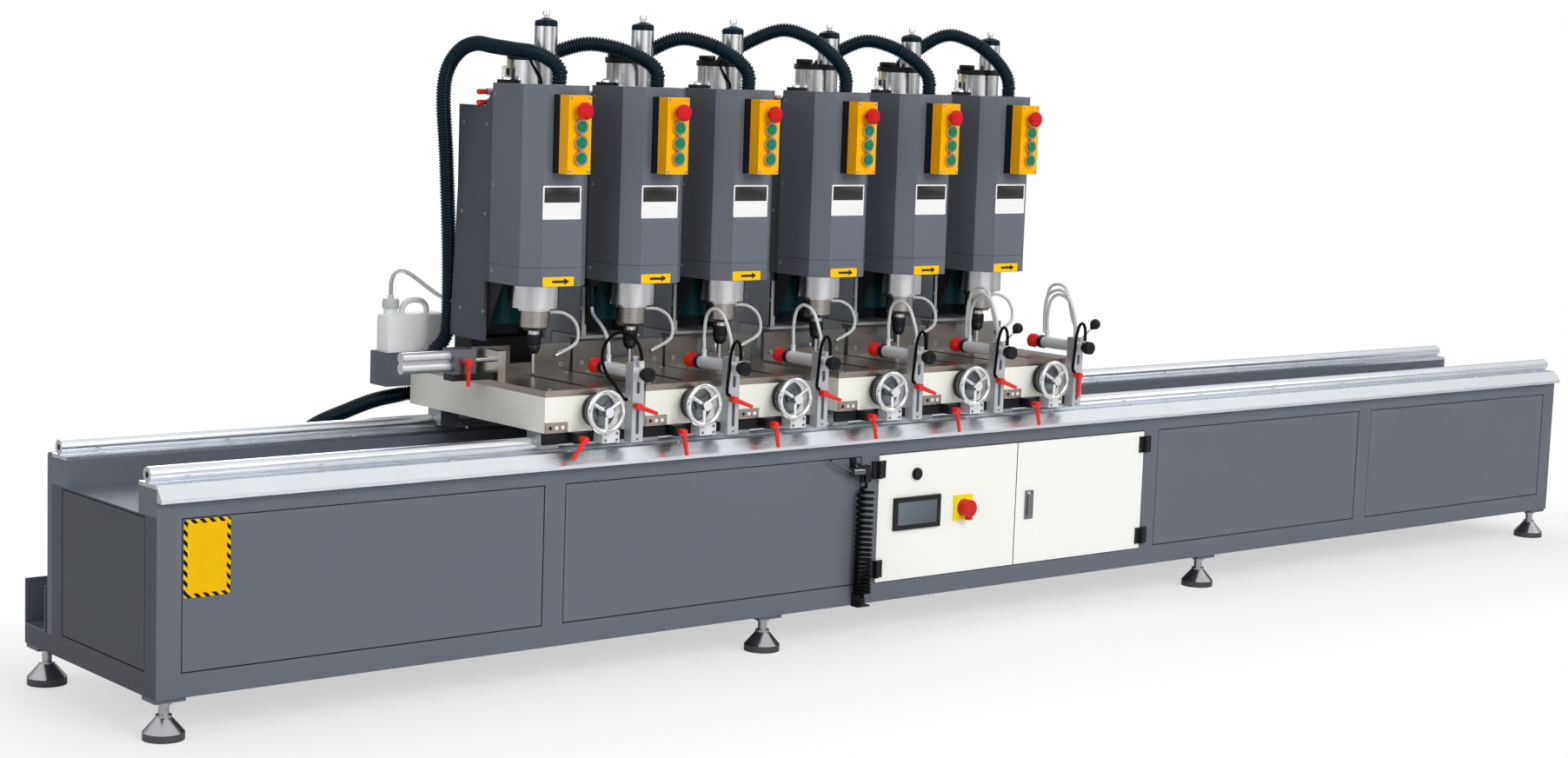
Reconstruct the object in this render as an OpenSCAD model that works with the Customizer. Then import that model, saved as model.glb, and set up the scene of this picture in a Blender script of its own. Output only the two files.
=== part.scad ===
// Profile drilling machine: six drilling stations that slide on two rails along a long bed.
// X runs along the bed, Y from the operator's side to the back, Z up from the floor. Millimetres.
// Modules draw in bed coordinates: X from the bed's left end, Y from its front face.
// Station modules draw about their own spindle: X from the spindle axis.

/* [Bed] */
// Length of the bed
bed_l = 4875; // [4600:5:6000]
// Depth of the bed body
bed_d = 501; // [480:1:600]
// Height of the bed's underside above the floor
bed_low = 91; // [88:1:140]
// Height of the bed body
bed_h = 380; // [360:1:440]
// Sheet thickness of the bed body
bed_sheet = 5; // [3:0.5:8]
// Depth of the ledge behind the body
ledge_d = 139; // [125:1:180]
// Height of the ledge
ledge_h = 43; // [40:1:70]
// Width of the posts between the bays
post_w = 56; // [40:1:80]
// Distance from the left end to the electrical cabinet
cabinet_x = 1966; // [1800:1:2200]
// Width of the cabinet opening
cabinet_w = 980; // [800:1:1100]
// Depth of the cabinet behind its doors
cabinet_d = 320; // [200:1:400]

/* [Rails] */
// Height of the box beams that carry the rails
beam_h = 59; // [40:1:90]
// Depth of the front beam
front_beam_d = 83; // [75:1:110]
// Depth of the rear beam
rear_beam_d = 73; // [60:1:100]
// Diameter of the round guide bars
bar_d = 34; // [25:1:40]
// Distance from the front face to the front bar's axis
bar_y = 46; // [40:1:60]
// Distance between the two guide bars
rail_gauge = 420; // [400:1:440]
// Thickness of the rail flange
flange_t = 8; // [5:0.5:12]
// How far the front rail's skirt stands out from the bed
skirt_out = 20; // [8:1:30]

/* [Feet] */
// Diameter of a levelling foot
foot_d = 88; // [60:1:110]
// Height of a foot's upright rim
foot_rim_h = 16; // [8:1:24]
// Height of a foot's cone
foot_cone_h = 31; // [15:1:35]
// Diameter of a foot's threaded stem
foot_stem_d = 22; // [12:1:30]
// Distance from the bed's edges to the foot axes
foot_inset = 36; // [36:1:80]

/* [Doors] */
// Thickness of a door
door_t = 14; // [10:1:20]
// Gap around a door
door_gap = 3; // [2:0.5:5]
// Edge of the main switch's square plate
switch_plate = 65; // [50:1:80]
// Diameter of the main switch's knob
switch_knob_d = 45; // [30:1:48]
// Width of the touch screen
screen_w = 159; // [120:1:180]
// Height of the touch screen
screen_h = 83; // [60:1:110]

/* [Stations] */
// Number of drilling stations
station_count = 6; // [1:1:6]
// Distance from the bed's left end to the first spindle
first_x = 1084; // [800:1:1400]
// Distance between neighbouring spindles
station_pitch = 290; // [285:1:320]
// How far each station stands from its even place
station_shifts = [0, -8, -20, 5, 0, -3];
// Width of a station's table
table_w = 270; // [262:1:276]
// Depth of a station's table
table_d = 572; // [560:1:600]
// Height of the table casting
casting_h = 82; // [78:1:110]
// Wall of the table casting
casting_wall = 14; // [10:1:20]
// Thickness of the steel table top
top_t = 15; // [8:1:25]
// Width of the drilling slot
slot_w = 16; // [12:1:24]
// Distance from the bed's front face to the spindle axes
spindle_y = 250; // [240:1:260]
// Distance from the spindle axis to the fence
fence_gap = 45; // [42:1:60]
// Height of the fence
fence_h = 69; // [50:1:75]
// Thickness of the fence
fence_t = 12; // [8:1:16]

/* [Heads] */
// Height of the head cover's lower edge above the table
cover_rise = 220; // [210:1:260]
// Height of the head cover
cover_h = 464; // [440:1:520]
// Width of the head cover
cover_w = 185; // [180:1:200]
// Distance from the spindle axis to the cover's front
cover_front = 108; // [100:1:120]
// Distance from the spindle axis to the cover's back
cover_back = 54; // [50:1:60]
// Slanted corners of the cover
cover_chamfer = 37; // [20:1:45]
// Sheet thickness of the cover
cover_t = 3; // [2:0.5:4]
// Depth of the column behind the cover
column_d = 147; // [145:1:170]
// Diameter of the spindle nose
nose_d = 117; // [100:1:120]
// Diameter of the quill
quill_d = 73; // [60:1:80]
// Diameter of the drill chuck
chuck_d = 36; // [30:1:45]
// Diameter of the drill bit
bit_d = 8; // [3:0.5:12]
// Diameter of the feed cylinder on top of a head
feed_cyl_d = 108; // [90:1:116]
// Diameter of the slim cylinder on top of a head
check_cyl_d = 54; // [40:1:60]

/* [Controls] */
// Outer diameter of a handwheel
wheel_d = 104; // [90:1:110]
// Thickness of a handwheel's rim
wheel_rim_d = 12; // [8:1:14]
// Diameter of a lead screw
screw_d = 16; // [12:1:20]
// Width of a button box
box_w = 64; // [56:1:80]
// Height of a button box
box_h = 180; // [160:1:200]
// Depth of a button box
box_d = 59; // [50:1:70]
// Diameter of a stop button
stop_d = 40; // [30:1:44]
// Diameter of a start button's bezel
bezel_d = 34; // [24:1:35]
// Diameter of a clamp cylinder
clamp_d = 30; // [24:1:30]
// Diameter of a clamp pad
clamp_pad_d = 36; // [24:1:40]

/* [Hoses] */
// Outer diameter of the ribbed conduits
conduit_d = 37; // [25:1:38]
// Distance between the ribs of a conduit
rib_pitch = 38; // [30:1:60]
// Outer diameter of the air gun's curly hose
curl_d = 34; // [30:1:44]
// Diameter of the curly hose's tube
curl_tube_d = 7; // [5:0.5:8]
// Number of curls
curl_count = 28; // [10:1:30]

/* [Hidden] */
STATION_NODES = ["table", "head", "quill", "chuck", "handwheel", "clamp_rod", "stop_button"];
$fn = 48;

// Overrun of every cut, seam between bolted pieces, running clearance and sliding clearance
over = 1;
seam = 0.05;
run = 0.05;
slip = 0.3;

// Colours
BED_GRAY = [0.36, 0.37, 0.40];
CABINET_WHITE = [0.93, 0.93, 0.91];
CASTING_WHITE = [0.90, 0.90, 0.86];
STEEL = [0.80, 0.81, 0.82];
GROUND_STEEL = [0.55, 0.52, 0.49];
BLACK = [0.06, 0.07, 0.07];
RED = [0.85, 0.12, 0.10];
YELLOW = [0.98, 0.72, 0.05];
GREEN = [0.10, 0.55, 0.35];
CONDUIT_BLACK = [0.05, 0.10, 0.12];

// Heights of the bed
bed_top = bed_low + bed_h;
beam_top = bed_top + seam + beam_h;
rail_z = beam_top + seam;
bar_z = rail_z + flange_t + bar_d / 2;
bar_rise = bar_z - rail_z;
rear_bar_y = bar_y + rail_gauge;
ledge_top = bed_low + ledge_h;
back_y = bed_d + ledge_d;

// Bays of the front face: start and width of each
left_bay_w = (cabinet_x - 3 * post_w) / 2;
cabinet_end = cabinet_x + cabinet_w;
right_bay_w = (bed_l - cabinet_end - 3 * post_w) / 2;
bays = [[post_w, left_bay_w], [2 * post_w + left_bay_w, left_bay_w],
        [cabinet_end + post_w, right_bay_w], [cabinet_end + 2 * post_w + right_bay_w, right_bay_w]];
bulkhead_t = 2 * bed_sheet;
vent_d = 80;

// Cover panels in their recesses
panel_t = 2.5;
panel_recess = 3;
panel_groove = 2.5;
panel_margin_low = 51;
panel_margin_high = 4;
panel_low = bed_low + panel_margin_low;
panel_high = bed_top - panel_margin_high;
end_panel_margin = 52;

// Feet
foot_count = 4;
foot_collar_d = 34;
foot_collar_h = 5;
foot_nut_d = 32;
foot_nut_h = 8;
foot_plate = [70, 60, 9];
foot_reach = 24;
foot_xs = [for (i = [0 : foot_count - 1]) foot_inset + i * (bed_l - 2 * foot_inset) / (foot_count - 1)];
foot_ys = [foot_inset, back_y - foot_inset];

// Rails
waist_w = 16;
shoulder_y = 3;
skirt_drop = 27;
lip_h = 8;
beam_wall = 5;
end_hole_d = 12;
end_hole_depth = 40;
weep_d = 12;

// Cable tray and the guard sheet between it and the bed
tray_d = 105;
tray_h = 103;
tray_t = 3;
guard_d = 22;
guard_t = 3;
guard_rise = 8;
guard_round = 10;

// Cabinet opening, doors and hinges
door_proud = 2;
door_skin = 2;
door_rim = 10;
opening_margin_low = 47;
opening_margin_high = 3;
opening_low = bed_low + opening_margin_low;
opening_high = bed_top - opening_margin_high;
opening_rim = 14;
door_low = opening_low + door_gap;
door_high = opening_high - door_gap;
door_mid = cabinet_x + cabinet_w / 2;
door_back = door_t - door_proud;
hinge_h = 44;
hinge_leaf_w = 22;
hinge_leaf_t = 4;
hinge_knuckle_d = 12;
hinge_pin_d = 6;
hinge_stand = 3;
hinge_clear = hinge_knuckle_d / 2 + slip;
hinge_y = -door_proud - hinge_leaf_t - hinge_stand;
hinge_inset = 38;
hinge_zs = [opening_low + hinge_inset, opening_high - hinge_inset];

// Fittings of the doors: places from the cabinet's left edge and the doors' lower edge
screen_at = [134, 170];
screen_t = 8;
screen_rim = 12;
glass_t = 2;
switch_at = [296, 170];
switch_plate_t = 6;
switch_knob_t = 26;
switch_stem_d = 14;
switch_tab = [16, 12, 14];
button_at = [131, 269];
button_d = 24;
button_bezel_d = 31;
button_bezel_t = 6;
button_travel = 4;
lock_at = [48, 157];
lock_size = [28, 5, 76];
lock_lever_size = [16, 7, 58];
lock_swing = 7;
lock_barrel_d = 5;
lock_pin_d = 2.5;
lock_pin_in = 3;
lock_pin_y = -door_proud - seam - slip - lock_barrel_d / 2;
lock_pin_z = door_low + lock_at.y + lock_lever_size.z / 2 - lock_barrel_d / 2;

// Control gear on its back plate: x, z, width, height and depth shares of the plate
gear_plate_t = 4;
gear_margin = 40;
gear_shares = [
    [0.03, 0.10, 0.16, 0.75, 0.30], [0.22, 0.55, 0.08, 0.35, 0.22], [0.32, 0.55, 0.08, 0.35, 0.22],
    [0.42, 0.55, 0.08, 0.35, 0.22], [0.52, 0.55, 0.08, 0.35, 0.22], [0.22, 0.10, 0.38, 0.28, 0.15],
    [0.68, 0.12, 0.26, 0.70, 0.25]];

// Air gun on its hook
gun_x = 1880;
gun_y = -19;
gun_z = 434;
gun_body_d = 24;
gun_body_l = 36;
gun_nozzle_d = 7;
gun_nozzle_l = 78;
gun_nozzle_tilt = 25;
gun_grip = [18, 18, 42];
gun_grip_tilt = 7;
gun_trigger = [5, 10, 17];
gun_eye_d = 16;
gun_eye_bore = 9;
gun_eye_t = 5;
hook_d = 6;
hook_plate = [18, 4, 26];

// Curly hose: from the grip down to the fitting at the bed's lower edge
curl_offset = 32;
curl_x = gun_x + curl_offset;
curl_y = gun_y;
curl_top = 385;
curl_rise = 20;
curl_bottom = bed_low + curl_rise;
curl_rings = 8;
curl_sides = 6;
curl_open_share = 1.25;
curl_lead = 1;
fitting_d = 16;
fitting_h = 18;
fitting_plate = [40, 4, 30];

// Table: heights and pieces that hang on it
bearing_rise = 30;
casting_z = bar_z + bearing_rise;
casting_top = casting_z + casting_h;
table_z = casting_top + seam + top_t;
slot_front = 40;
slot_back = 22;
bearing_l = 50;
bearing_d = 56;
bearing_inset = 28;
bearing_mouth_share = 0.8;
bearing_low_share = 0.25;
wheel_drop = 49;
wheel_z = table_z - wheel_drop;
wheel_y = -50;
boss_d = 64;
boss_t = 5;
pointer_size = [62, 3, 24];
lock_block = [46, 48, 28];
lock_block_x = -74;
index_block = [48, 52, 28];
index_block_x = 8;
block_y = -26;
fence_y = spindle_y + fence_gap;
top_d = fence_y - seam;
notch_w = 70;
notch_rise = 26;

// Red clamping levers
lever_hub_d = 16;
lever_hub_h = 20;
lever_l = 56;
lever_root_d = 12;
lever_tip_d = 9;

// Clamp post with its cylinder
post_x = 92;
clamp_post = [32, 28, 184];
clamp_post_y = -45;
post_drop = 28;
post_low = casting_z - post_drop;
post_foot = [46, 17, 34];
post_slot_w = 9;
post_slots = [[18, 66], [112, 28]];
clamp_rise = 35;
clamp_z = table_z + clamp_rise;
clamp_lever_drop = 40;
clamp_back = 62;
clamp_l = 157;
clamp_collar_d = 35;
clamp_collar_t = 12;
clamp_knob_d = 30;
clamp_knob_l = 28;
clamp_rod_d = 12;
clamp_rod_out = 6;
clamp_rod_in = 128;
clamp_pad_t = 14;
clamp_pad_neck_d = 24;
clamp_pad_neck = 16;
tube_d = 8;
tube_sides = 8;
plug_d = 11;
plug_h = 10;

// Head: heights
cover_z = table_z + cover_rise;
cover_top = cover_z + cover_h;
nose_drop = 57;
nose_ring_d = 88;
nose_ring_h = 7;
quill_drop = 54;
quill_round = 8;
quill_inside = 200;
neck_d = 30;
neck_h = 11;
chuck_h = 45;
chuck_taper = 12;
bit_l = 47;
spindle_d = 24;
spindle_inside = 230;
nose_z = cover_z - nose_drop;
quill_z = nose_z - quill_drop;
chuck_top = quill_z - neck_h;
chuck_z = chuck_top - chuck_h;

// Column, motor and what ties them together
column_w = 178;
column_t = 8;
column_front = spindle_y + cover_back + seam;
column_back = column_front + column_d;
column_step = 24;
column_rise = 78;
column_low = table_z + column_rise;
column_drop = 54;
column_slope = 35;
pedestal = [178, 72];
pedestal_y = column_back - pedestal.y;
nut_size = [34, 30, 48];
nut_inset = 18;
nut_y = pedestal_y + nut_inset;
way_slot_play = 8;
way_slot_w = nut_size.x + way_slot_play;
way_slot_end = nut_y + nut_size.y + way_slot_play;
cross_travel = 70;
motor_d = 112;
motor_h = 300;
motor_inset = 70;
motor_y = column_front + motor_inset;
motor_rise = 118;
motor_low = table_z + motor_rise;
bridge_t = 18;
bridge_rise = 40;
bridge_drop = 140;
bridge_zs = [cover_z + bridge_rise, cover_top - bridge_drop];
gusset_t = 6;
gusset_low = 118;
gusset_reach = 40;
pulley_h = 24;
motor_pulley_d = 70;
belt_t = 4;
pulley_drop = 96;
pulley_z = cover_top - pulley_drop;

// Top of the head
feed_at = [8, 45];
feed_cyl_h = 54;
top_cap_d = 116;
top_cap_h = 14;
check_at = [46, 45];
check_lobe_d = 66;
check_cyl_h = 66;
check_cap_h = 20;
check_cap_top_d = 34;
nipple_d = 18;
nipple_h = 16;
dome_d = 22;
dome_base = [32, 30, 8];
dome_at = [-70, 18];
valve_size = [26, 22, 38];
valve_lever = [40, 9, 8];
valve_y = 44;
valve_lever_zs = [4, 26];
valve_x = -70;

// Button box: share of its depth that is the black back half, and the button heights below its top
box_back_share = 0.42;
box_drop = 21;
button_drops = [35, 71, 107, 143];
stop_neck_d = 24;
stop_neck = 12;
stop_head_h = 14;
stop_stem_d = 16;
stop_stem = 22;
stop_travel = 5;
bezel_h = 9;
start_d = 25;
start_h = 4;

// Handwheel
hub_d = 24;
hub_h = 28;
spoke_d = 9;
spoke_count = 3;
dial_d = 78;
dial_h = 22;
dial_gap = 3;

// Stop unit at the first table
stop_y = 250;
stop_cyl_d = 26;
stop_cyl_x = -362;
stop_cyl_l = 128;
stop_block = [58, 52, 58];
stop_block_low = 16;
stop_rod_d = 14;
stop_rod_l = 58;
stop_plate = [20, 64, 66];
stop_arm = [114, 40];

// Coolant can on its bracket behind the first table, places from the first spindle
rack_x = -203;
rack_size = [186, 75, 82];
rack_t = 3;
rack_low = 628;
can_size = [170, 60, 170];
can_inset = 8;
can_shoulder = 14;
can_neck_d = 34;
can_neck_h = 12;
can_cap_d = 40;
can_cap_h = 26;
can_cap_x = 24;
can_grip = [74, 16, 34];
can_grip_x = 74;
can_grip_d = 12;

// Routes of hoses, chosen by hand. Places are from the spindle axis, those of a loop's far end from the
// next spindle. The lead's foot and the supply's start are measured from the table's back edge.
lead_foot = [[-112, -67, 705], [-112, -67, 722], [-112, -67, 745]];
lead_rise = [
    [-112, 492, 960], [-112, 474, 1180], [-112, 459, 1320], [-110, 442, 1388], [-104, 406, 1434],
    [-96, 362, 1450], [-86, 312, 1447], [-68, 260, 1444], [-40, 212, 1438], [-14, 182, 1420],
    [0, 170, 1398], [0, 170, 1382], [0, 170, 1367]];
lead_route = concat([for (p = lead_foot) p + [0, table_d, 0]], lead_rise);
loop_near = [[62, 400, 1326], [62, 400, 1340], [62, 400, 1362], [72, 390, 1400], [102, 360, 1434]];
loop_far = [[-122, 300, 1462], [-70, 248, 1456], [-30, 203, 1436], [-6, 177, 1414], [0, 170, 1396],
            [0, 170, 1382], [0, 170, 1367]];
// Lift of each loop, and the share of it that each point takes
loop_lifts = [0, 21, 52, 34, 58];
near_lift_shares = [0, 0, 0, 0.1, 0.5];
far_lift_shares = [1, 0.9, 0.55, 0.2, 0, 0, 0];
supply_start = [[-99, 6, 604], [-99, 18, 604], [-99, 28, 604], [-110, 50, 602], [-138, 57, 597]];
supply_end = [
    [870, 627, 566], [750, 617, 486], [655, 606, 380], [570, 596, 284], [500, 588, 214], [430, 588, 176],
    [370, 588, 172], [335, 588, 172], [300, 588, 172]];
supply_route = concat([for (p = supply_start) p + [first_x, table_d, 0]], supply_end);
white_route = [[92, 74, 742], [92, 74, 747], [92, 74, 756], [90, 73, 790], [84, 57, 832], [80, 24, 850],
               [82, -10, 836], [88, -28, 792], [92, -31, 763], [92, -31, 756], [92, -31, 751]];
black_route = [[92, -54, 742], [92, -54, 747], [92, -54, 756], [88, -46, 784], [76, -22, 806], [60, 8, 804],
               [48, 30, 776], [45, 34, 742], [47, 18, 710], [51, -6, 690], [56, -20, 672], [61, -29, 660],
               [65, -31, 656], [68, -31, 656], [71, -31, 656]];
coolant_route = [[53, 250, 839], [57, 250, 839], [62, 250, 839], [84, 248, 833], [106, 244, 816],
                 [115, 238, 790], [108, 230, 764], [88, 224, 748], [75, 223, 743], [68.5, 222.5, 740.5],
                 [62, 222, 738]];
conduit_bore_share = 0.66;
conduit_valley_share = 0.86;
conduit_sides = 8;
route_steps = 6;
tube_ring_share = 2.5;
gland_d = 42;
nozzle_d = 11;
nozzle_l = 22;

// The frame's origin: middle of the machine's box on the floor
reach_front = clamp_back + clamp_knob_l;
reach_back = back_y - foot_inset + foot_d / 2;
middle_y = (reach_back - reach_front) / 2;

function station_x(n) = first_x + (n - 1) * station_pitch + station_shifts[n - 1];

// Conduit from one head to the next
function loop_route(n) = concat(
    [for (i = [0 : len(loop_near) - 1])
        loop_near[i] + [station_x(n), 0, loop_lifts[n - 1] * near_lift_shares[i]]],
    [for (i = [0 : len(loop_far) - 1])
        loop_far[i] + [station_x(n + 1), 0, loop_lifts[n - 1] * far_lift_shares[i]]]);

module in_frame() {
    translate([-bed_l / 2, -middle_y, 0]) children();
}

module at_station(n) {
    in_frame() translate([station_x(n), 0, 0]) children();
}

// Box between two corners
module span(low, high) {
    translate(low) cube(high - low);
}

// Box of a size that is centred in X on a point
module centred_x(at, size) {
    translate([at.x - size.x / 2, at.y, at.z]) cube(size);
}

module rod_x(d, l) {
    rotate([0, 90, 0]) cylinder(d = d, h = l);
}

module rod_y(d, l) {
    rotate([-90, 0, 0]) cylinder(d = d, h = l);
}

// Outline in Y and Z, drawn out along X
module along_x(l) {
    rotate([90, 0, 90]) linear_extrude(height = l) children();
}

module slot_y(w, h, l) {
    for (z = [w / 2, h - w / 2]) translate([0, 0, z]) rod_y(w, l);
    translate([-w / 2, 0, w / 2]) cube([w, l, h - w]);
}

// Clamping lever: hub along Y, arm turned about the hub from straight down
module clamp_lever(turn) {
    rod_y(lever_hub_d, lever_hub_h);
    translate([0, lever_root_d / 2, 0]) rotate([180, turn, 0])
        cylinder(d1 = lever_root_d, d2 = lever_tip_d, h = lever_l);
}

// Curves for hoses
function unit(v) = v / norm(v);
function point_on(a, b, c, d, t) =
    (2 * b + (c - a) * t + (2 * a - 5 * b + 4 * c - d) * t * t + (3 * b - a - 3 * c + d) * t * t * t) / 2;
function curve(p, steps) = let (last = len(p) - 1) concat(
    [for (i = [0 : last - 1]) for (s = [0 : steps - 1])
        point_on(p[max(i - 1, 0)], p[i], p[i + 1], p[min(i + 2, last)], s / steps)],
    [p[last]]);
function run_lengths(p, i = 0, sum = 0, done = []) = i == len(p) ? done :
    let (now = i == 0 ? 0 : sum + norm(p[i] - p[i - 1])) run_lengths(p, i + 1, now, concat(done, [now]));
function at_length(p, s, l) = [for (axis = [0 : 2])
    lookup(l, [for (i = [0 : len(p) - 1]) [s[i], p[i][axis]]])];
function evenly(p, count) = let (s = run_lengths(p), total = s[len(s) - 1])
    [for (i = [0 : count]) at_length(p, s, total * i / count)];
function route_length(p) = let (s = run_lengths(p)) s[len(s) - 1];
function end_headings(p) = let (last = len(p) - 1) [unit(p[1] - p[0]), unit(p[last] - p[last - 1])];
function headings(p, ends) = let (last = len(p) - 1)
    [for (i = [0 : last]) i == 0 ? ends[0] : i == last ? ends[1] : unit(p[i + 1] - p[i - 1])];
function carried(t, side, i = 0, done = []) = i == len(t) ? done :
    let (now = unit(side - t[i] * (side * t[i]))) carried(t, now, i + 1, concat(done, [now]));
function rings(p, radii, sides, ends) = let (t = headings(p, ends),
    first = abs(t[0].x) < 0.9 ? [1, 0, 0] : [0, 1, 0], side = carried(t, first))
    [for (i = [0 : len(p) - 1]) for (k = [0 : sides - 1]) let (a = 360 * k / sides)
        p[i] + radii[i] * (cos(a) * side[i] + sin(a) * cross(t[i], side[i]))];
function wall_faces(count, sides, base, inward) = [for (i = [0 : count - 2]) for (k = [0 : sides - 1])
    let (a = base + i * sides + k, b = base + i * sides + (k + 1) % sides, c = a + sides, d = b + sides)
    for (half = [0, 1]) half == 0 ? (inward ? [a, c, b] : [a, b, c]) : (inward ? [b, c, d] : [b, d, c])];
function fan(base, sides, flip) = [for (k = [1 : sides - 2])
    flip ? [base, base + k, base + k + 1] : [base, base + k + 1, base + k]];
function collar(outer, inner, sides, flip) = [for (k = [0 : sides - 1]) let (m = (k + 1) % sides)
    for (half = [0, 1])
    half == 0 ? (flip ? [outer + k, inner + m, outer + m] : [outer + k, outer + m, inner + m])
              : (flip ? [outer + k, inner + k, inner + m] : [outer + k, inner + m, inner + k])];

// Plain tube along points
module solid_tube(p, d, sides, ends) {
    count = len(p);
    polyhedron(points = rings(p, [for (q = p) d / 2], sides, ends),
        faces = [for (f = concat(wall_faces(count, sides, 0, false), fan(0, sides, false),
            fan((count - 1) * sides, sides, true))) [f[0], f[2], f[1]]]);
}

// Ribbed hose with a bore: crests and valleys take turns
module ribbed_tube(route) {
    path = curve(route, route_steps);
    ribs = round(route_length(path) / rib_pitch);
    outer = evenly(path, 2 * ribs);
    inner = evenly(path, ribs);
    crest = conduit_d / 2;
    radii = [for (i = [0 : 2 * ribs]) i % 2 == 0 ? crest * conduit_valley_share : crest];
    bore = [for (q = inner) crest * conduit_bore_share];
    sides = conduit_sides;
    ends = end_headings(path);
    first = len(outer) * sides;
    faces = concat(
        wall_faces(len(outer), sides, 0, false),
        wall_faces(len(inner), sides, first, true),
        collar(0, first, sides, true),
        collar((len(outer) - 1) * sides, first + (len(inner) - 1) * sides, sides, false));
    polyhedron(points = concat(rings(outer, radii, sides, ends), rings(inner, bore, sides, ends)),
        faces = [for (f = faces) [f[0], f[2], f[1]]]);
}

module small_tube(route) {
    path = curve(route, route_steps);
    count = round(route_length(path) / (tube_ring_share * tube_d));
    solid_tube(evenly(path, count), tube_d, tube_sides, end_headings(path));
}

module bed_bodies() {
    span([0, 0, bed_low], [bed_l, bed_d, bed_top]);
    span([0, bed_d - bed_sheet, bed_low], [bed_l, back_y, ledge_top]);
    for (x = foot_xs) for (y = foot_ys)
        translate([x - foot_plate.x / 2, y - foot_plate.y / 2, bed_low - foot_plate.z])
            cube([foot_plate.x, foot_plate.y, foot_plate.z + bed_sheet]);
}

// Hollow of one bay, reaching behind its posts
module bay_chamber(i) {
    post_hollow = (post_w - bulkhead_t) / 2;
    left = i == 0 ? post_w - bed_sheet : post_hollow;
    right = i == len(bays) - 1 ? post_w - bed_sheet : post_hollow;
    x = bays[i][0];
    w = bays[i][1];
    span([x - left, panel_recess + bed_sheet, bed_low + bed_sheet],
         [x + w + right, bed_d - bed_sheet, bed_top - bed_sheet]);
    translate([x + w / 2, bed_d / 2, bed_low - over]) cylinder(d = vent_d, h = bed_sheet + 2 * over);
}

module bed_frame() {
    color(BED_GRAY) difference() {
        bed_bodies();
        for (i = [0 : len(bays) - 1]) {
            bay_chamber(i);
            span([bays[i][0], -over, panel_low], [bays[i][0] + bays[i][1], panel_recess, panel_high]);
        }
        for (x = [-over, bed_l - panel_recess])
            span([x, end_panel_margin, panel_low],
                 [x + panel_recess + over, bed_d - end_panel_margin, panel_high]);
        span([bed_sheet, bed_d, bed_low + bed_sheet],
             [bed_l - bed_sheet, back_y - bed_sheet, ledge_top - bed_sheet]);
        translate([bed_l / 2, bed_d + ledge_d / 2, bed_low - over])
            cylinder(d = vent_d, h = bed_sheet + 2 * over);
        span([cabinet_x, -over, opening_low], [cabinet_end, door_back + door_gap, opening_high]);
        span([cabinet_x + opening_rim, 0, opening_low + opening_rim],
             [cabinet_end - opening_rim, cabinet_d, opening_high - opening_rim]);
        for (x = foot_xs) for (y = foot_ys) translate([x, y, bed_low - foot_plate.z - over])
            cylinder(d = foot_stem_d + 2 * slip, h = foot_plate.z + bed_sheet + 2 * over);
    }
}

module bed_panels() {
    back = panel_recess - seam;
    color(BED_GRAY) {
        for (bay = bays) span([bay[0] + panel_groove, back - panel_t, panel_low + panel_groove],
                              [bay[0] + bay[1] - panel_groove, back, panel_high - panel_groove]);
        for (x = [back - panel_t, bed_l - back])
            span([x, end_panel_margin + panel_groove, panel_low + panel_groove],
                 [x + panel_t, bed_d - end_panel_margin - panel_groove, panel_high - panel_groove]);
    }
}

// Hollow beam under a rail, with a weep hole near each end
module rail_beam(y, d) {
    difference() {
        span([0, y, bed_top + seam], [bed_l, y + d, beam_top]);
        span([beam_wall, y + beam_wall, bed_top + seam + beam_wall],
             [bed_l - beam_wall, y + d - beam_wall, beam_top - beam_wall]);
        for (x = [post_w, bed_l - post_w]) translate([x, y + d / 2, bed_top - over])
            cylinder(d = weep_d, h = beam_wall + 2 * over);
    }
}

// Round guide bar on its waist; the flange is the child
module rail(y) {
    difference() {
        union() {
            translate([0, y, bar_z]) rod_x(bar_d, bed_l);
            translate([0, 0, rail_z]) along_x(bed_l) children();
        }
        for (x = [-over, bed_l - end_hole_depth]) translate([x, y, bar_z])
            rod_x(end_hole_d, end_hole_depth + over);
    }
}

module front_rail() {
    half = waist_w / 2;
    color(BED_GRAY) rail_beam(0, front_beam_d);
    color(STEEL) rail(bar_y) polygon([
        [front_beam_d, 0], [front_beam_d, flange_t], [bar_y + half, flange_t], [bar_y + half, bar_rise],
        [bar_y - half, bar_rise], [bar_y - half, flange_t], [shoulder_y, flange_t],
        [-skirt_out, flange_t - skirt_drop], [-skirt_out, flange_t - skirt_drop - lip_h],
        [-seam, flange_t - skirt_drop - lip_h], [-seam, 0]]);
}

module rear_rail() {
    half = waist_w / 2;
    front = bed_d - rear_beam_d;
    color(BED_GRAY) rail_beam(front, rear_beam_d);
    color(STEEL) rail(rear_bar_y) polygon([
        [bed_d, 0], [bed_d, flange_t], [rear_bar_y + half, flange_t], [rear_bar_y + half, bar_rise],
        [rear_bar_y - half, bar_rise], [rear_bar_y - half, flange_t], [front, flange_t], [front, 0]]);
}

module levelling_feet() {
    cone_top = foot_rim_h + foot_cone_h;
    collar_top = cone_top + foot_collar_h;
    nut_top = bed_low - foot_plate.z - seam;
    stem_top = bed_low + foot_reach;
    color(STEEL) for (x = foot_xs) for (y = foot_ys) translate([x, y, 0]) rotate_extrude() polygon([
        [0, 0], [foot_d / 2, 0], [foot_d / 2, foot_rim_h], [foot_collar_d / 2, cone_top],
        [foot_collar_d / 2, collar_top], [foot_stem_d / 2, collar_top],
        [foot_stem_d / 2, nut_top - foot_nut_h], [foot_nut_d / 2, nut_top - foot_nut_h],
        [foot_nut_d / 2, nut_top], [foot_stem_d / 2, nut_top], [foot_stem_d / 2, stem_top], [0, stem_top]]);
}

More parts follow.
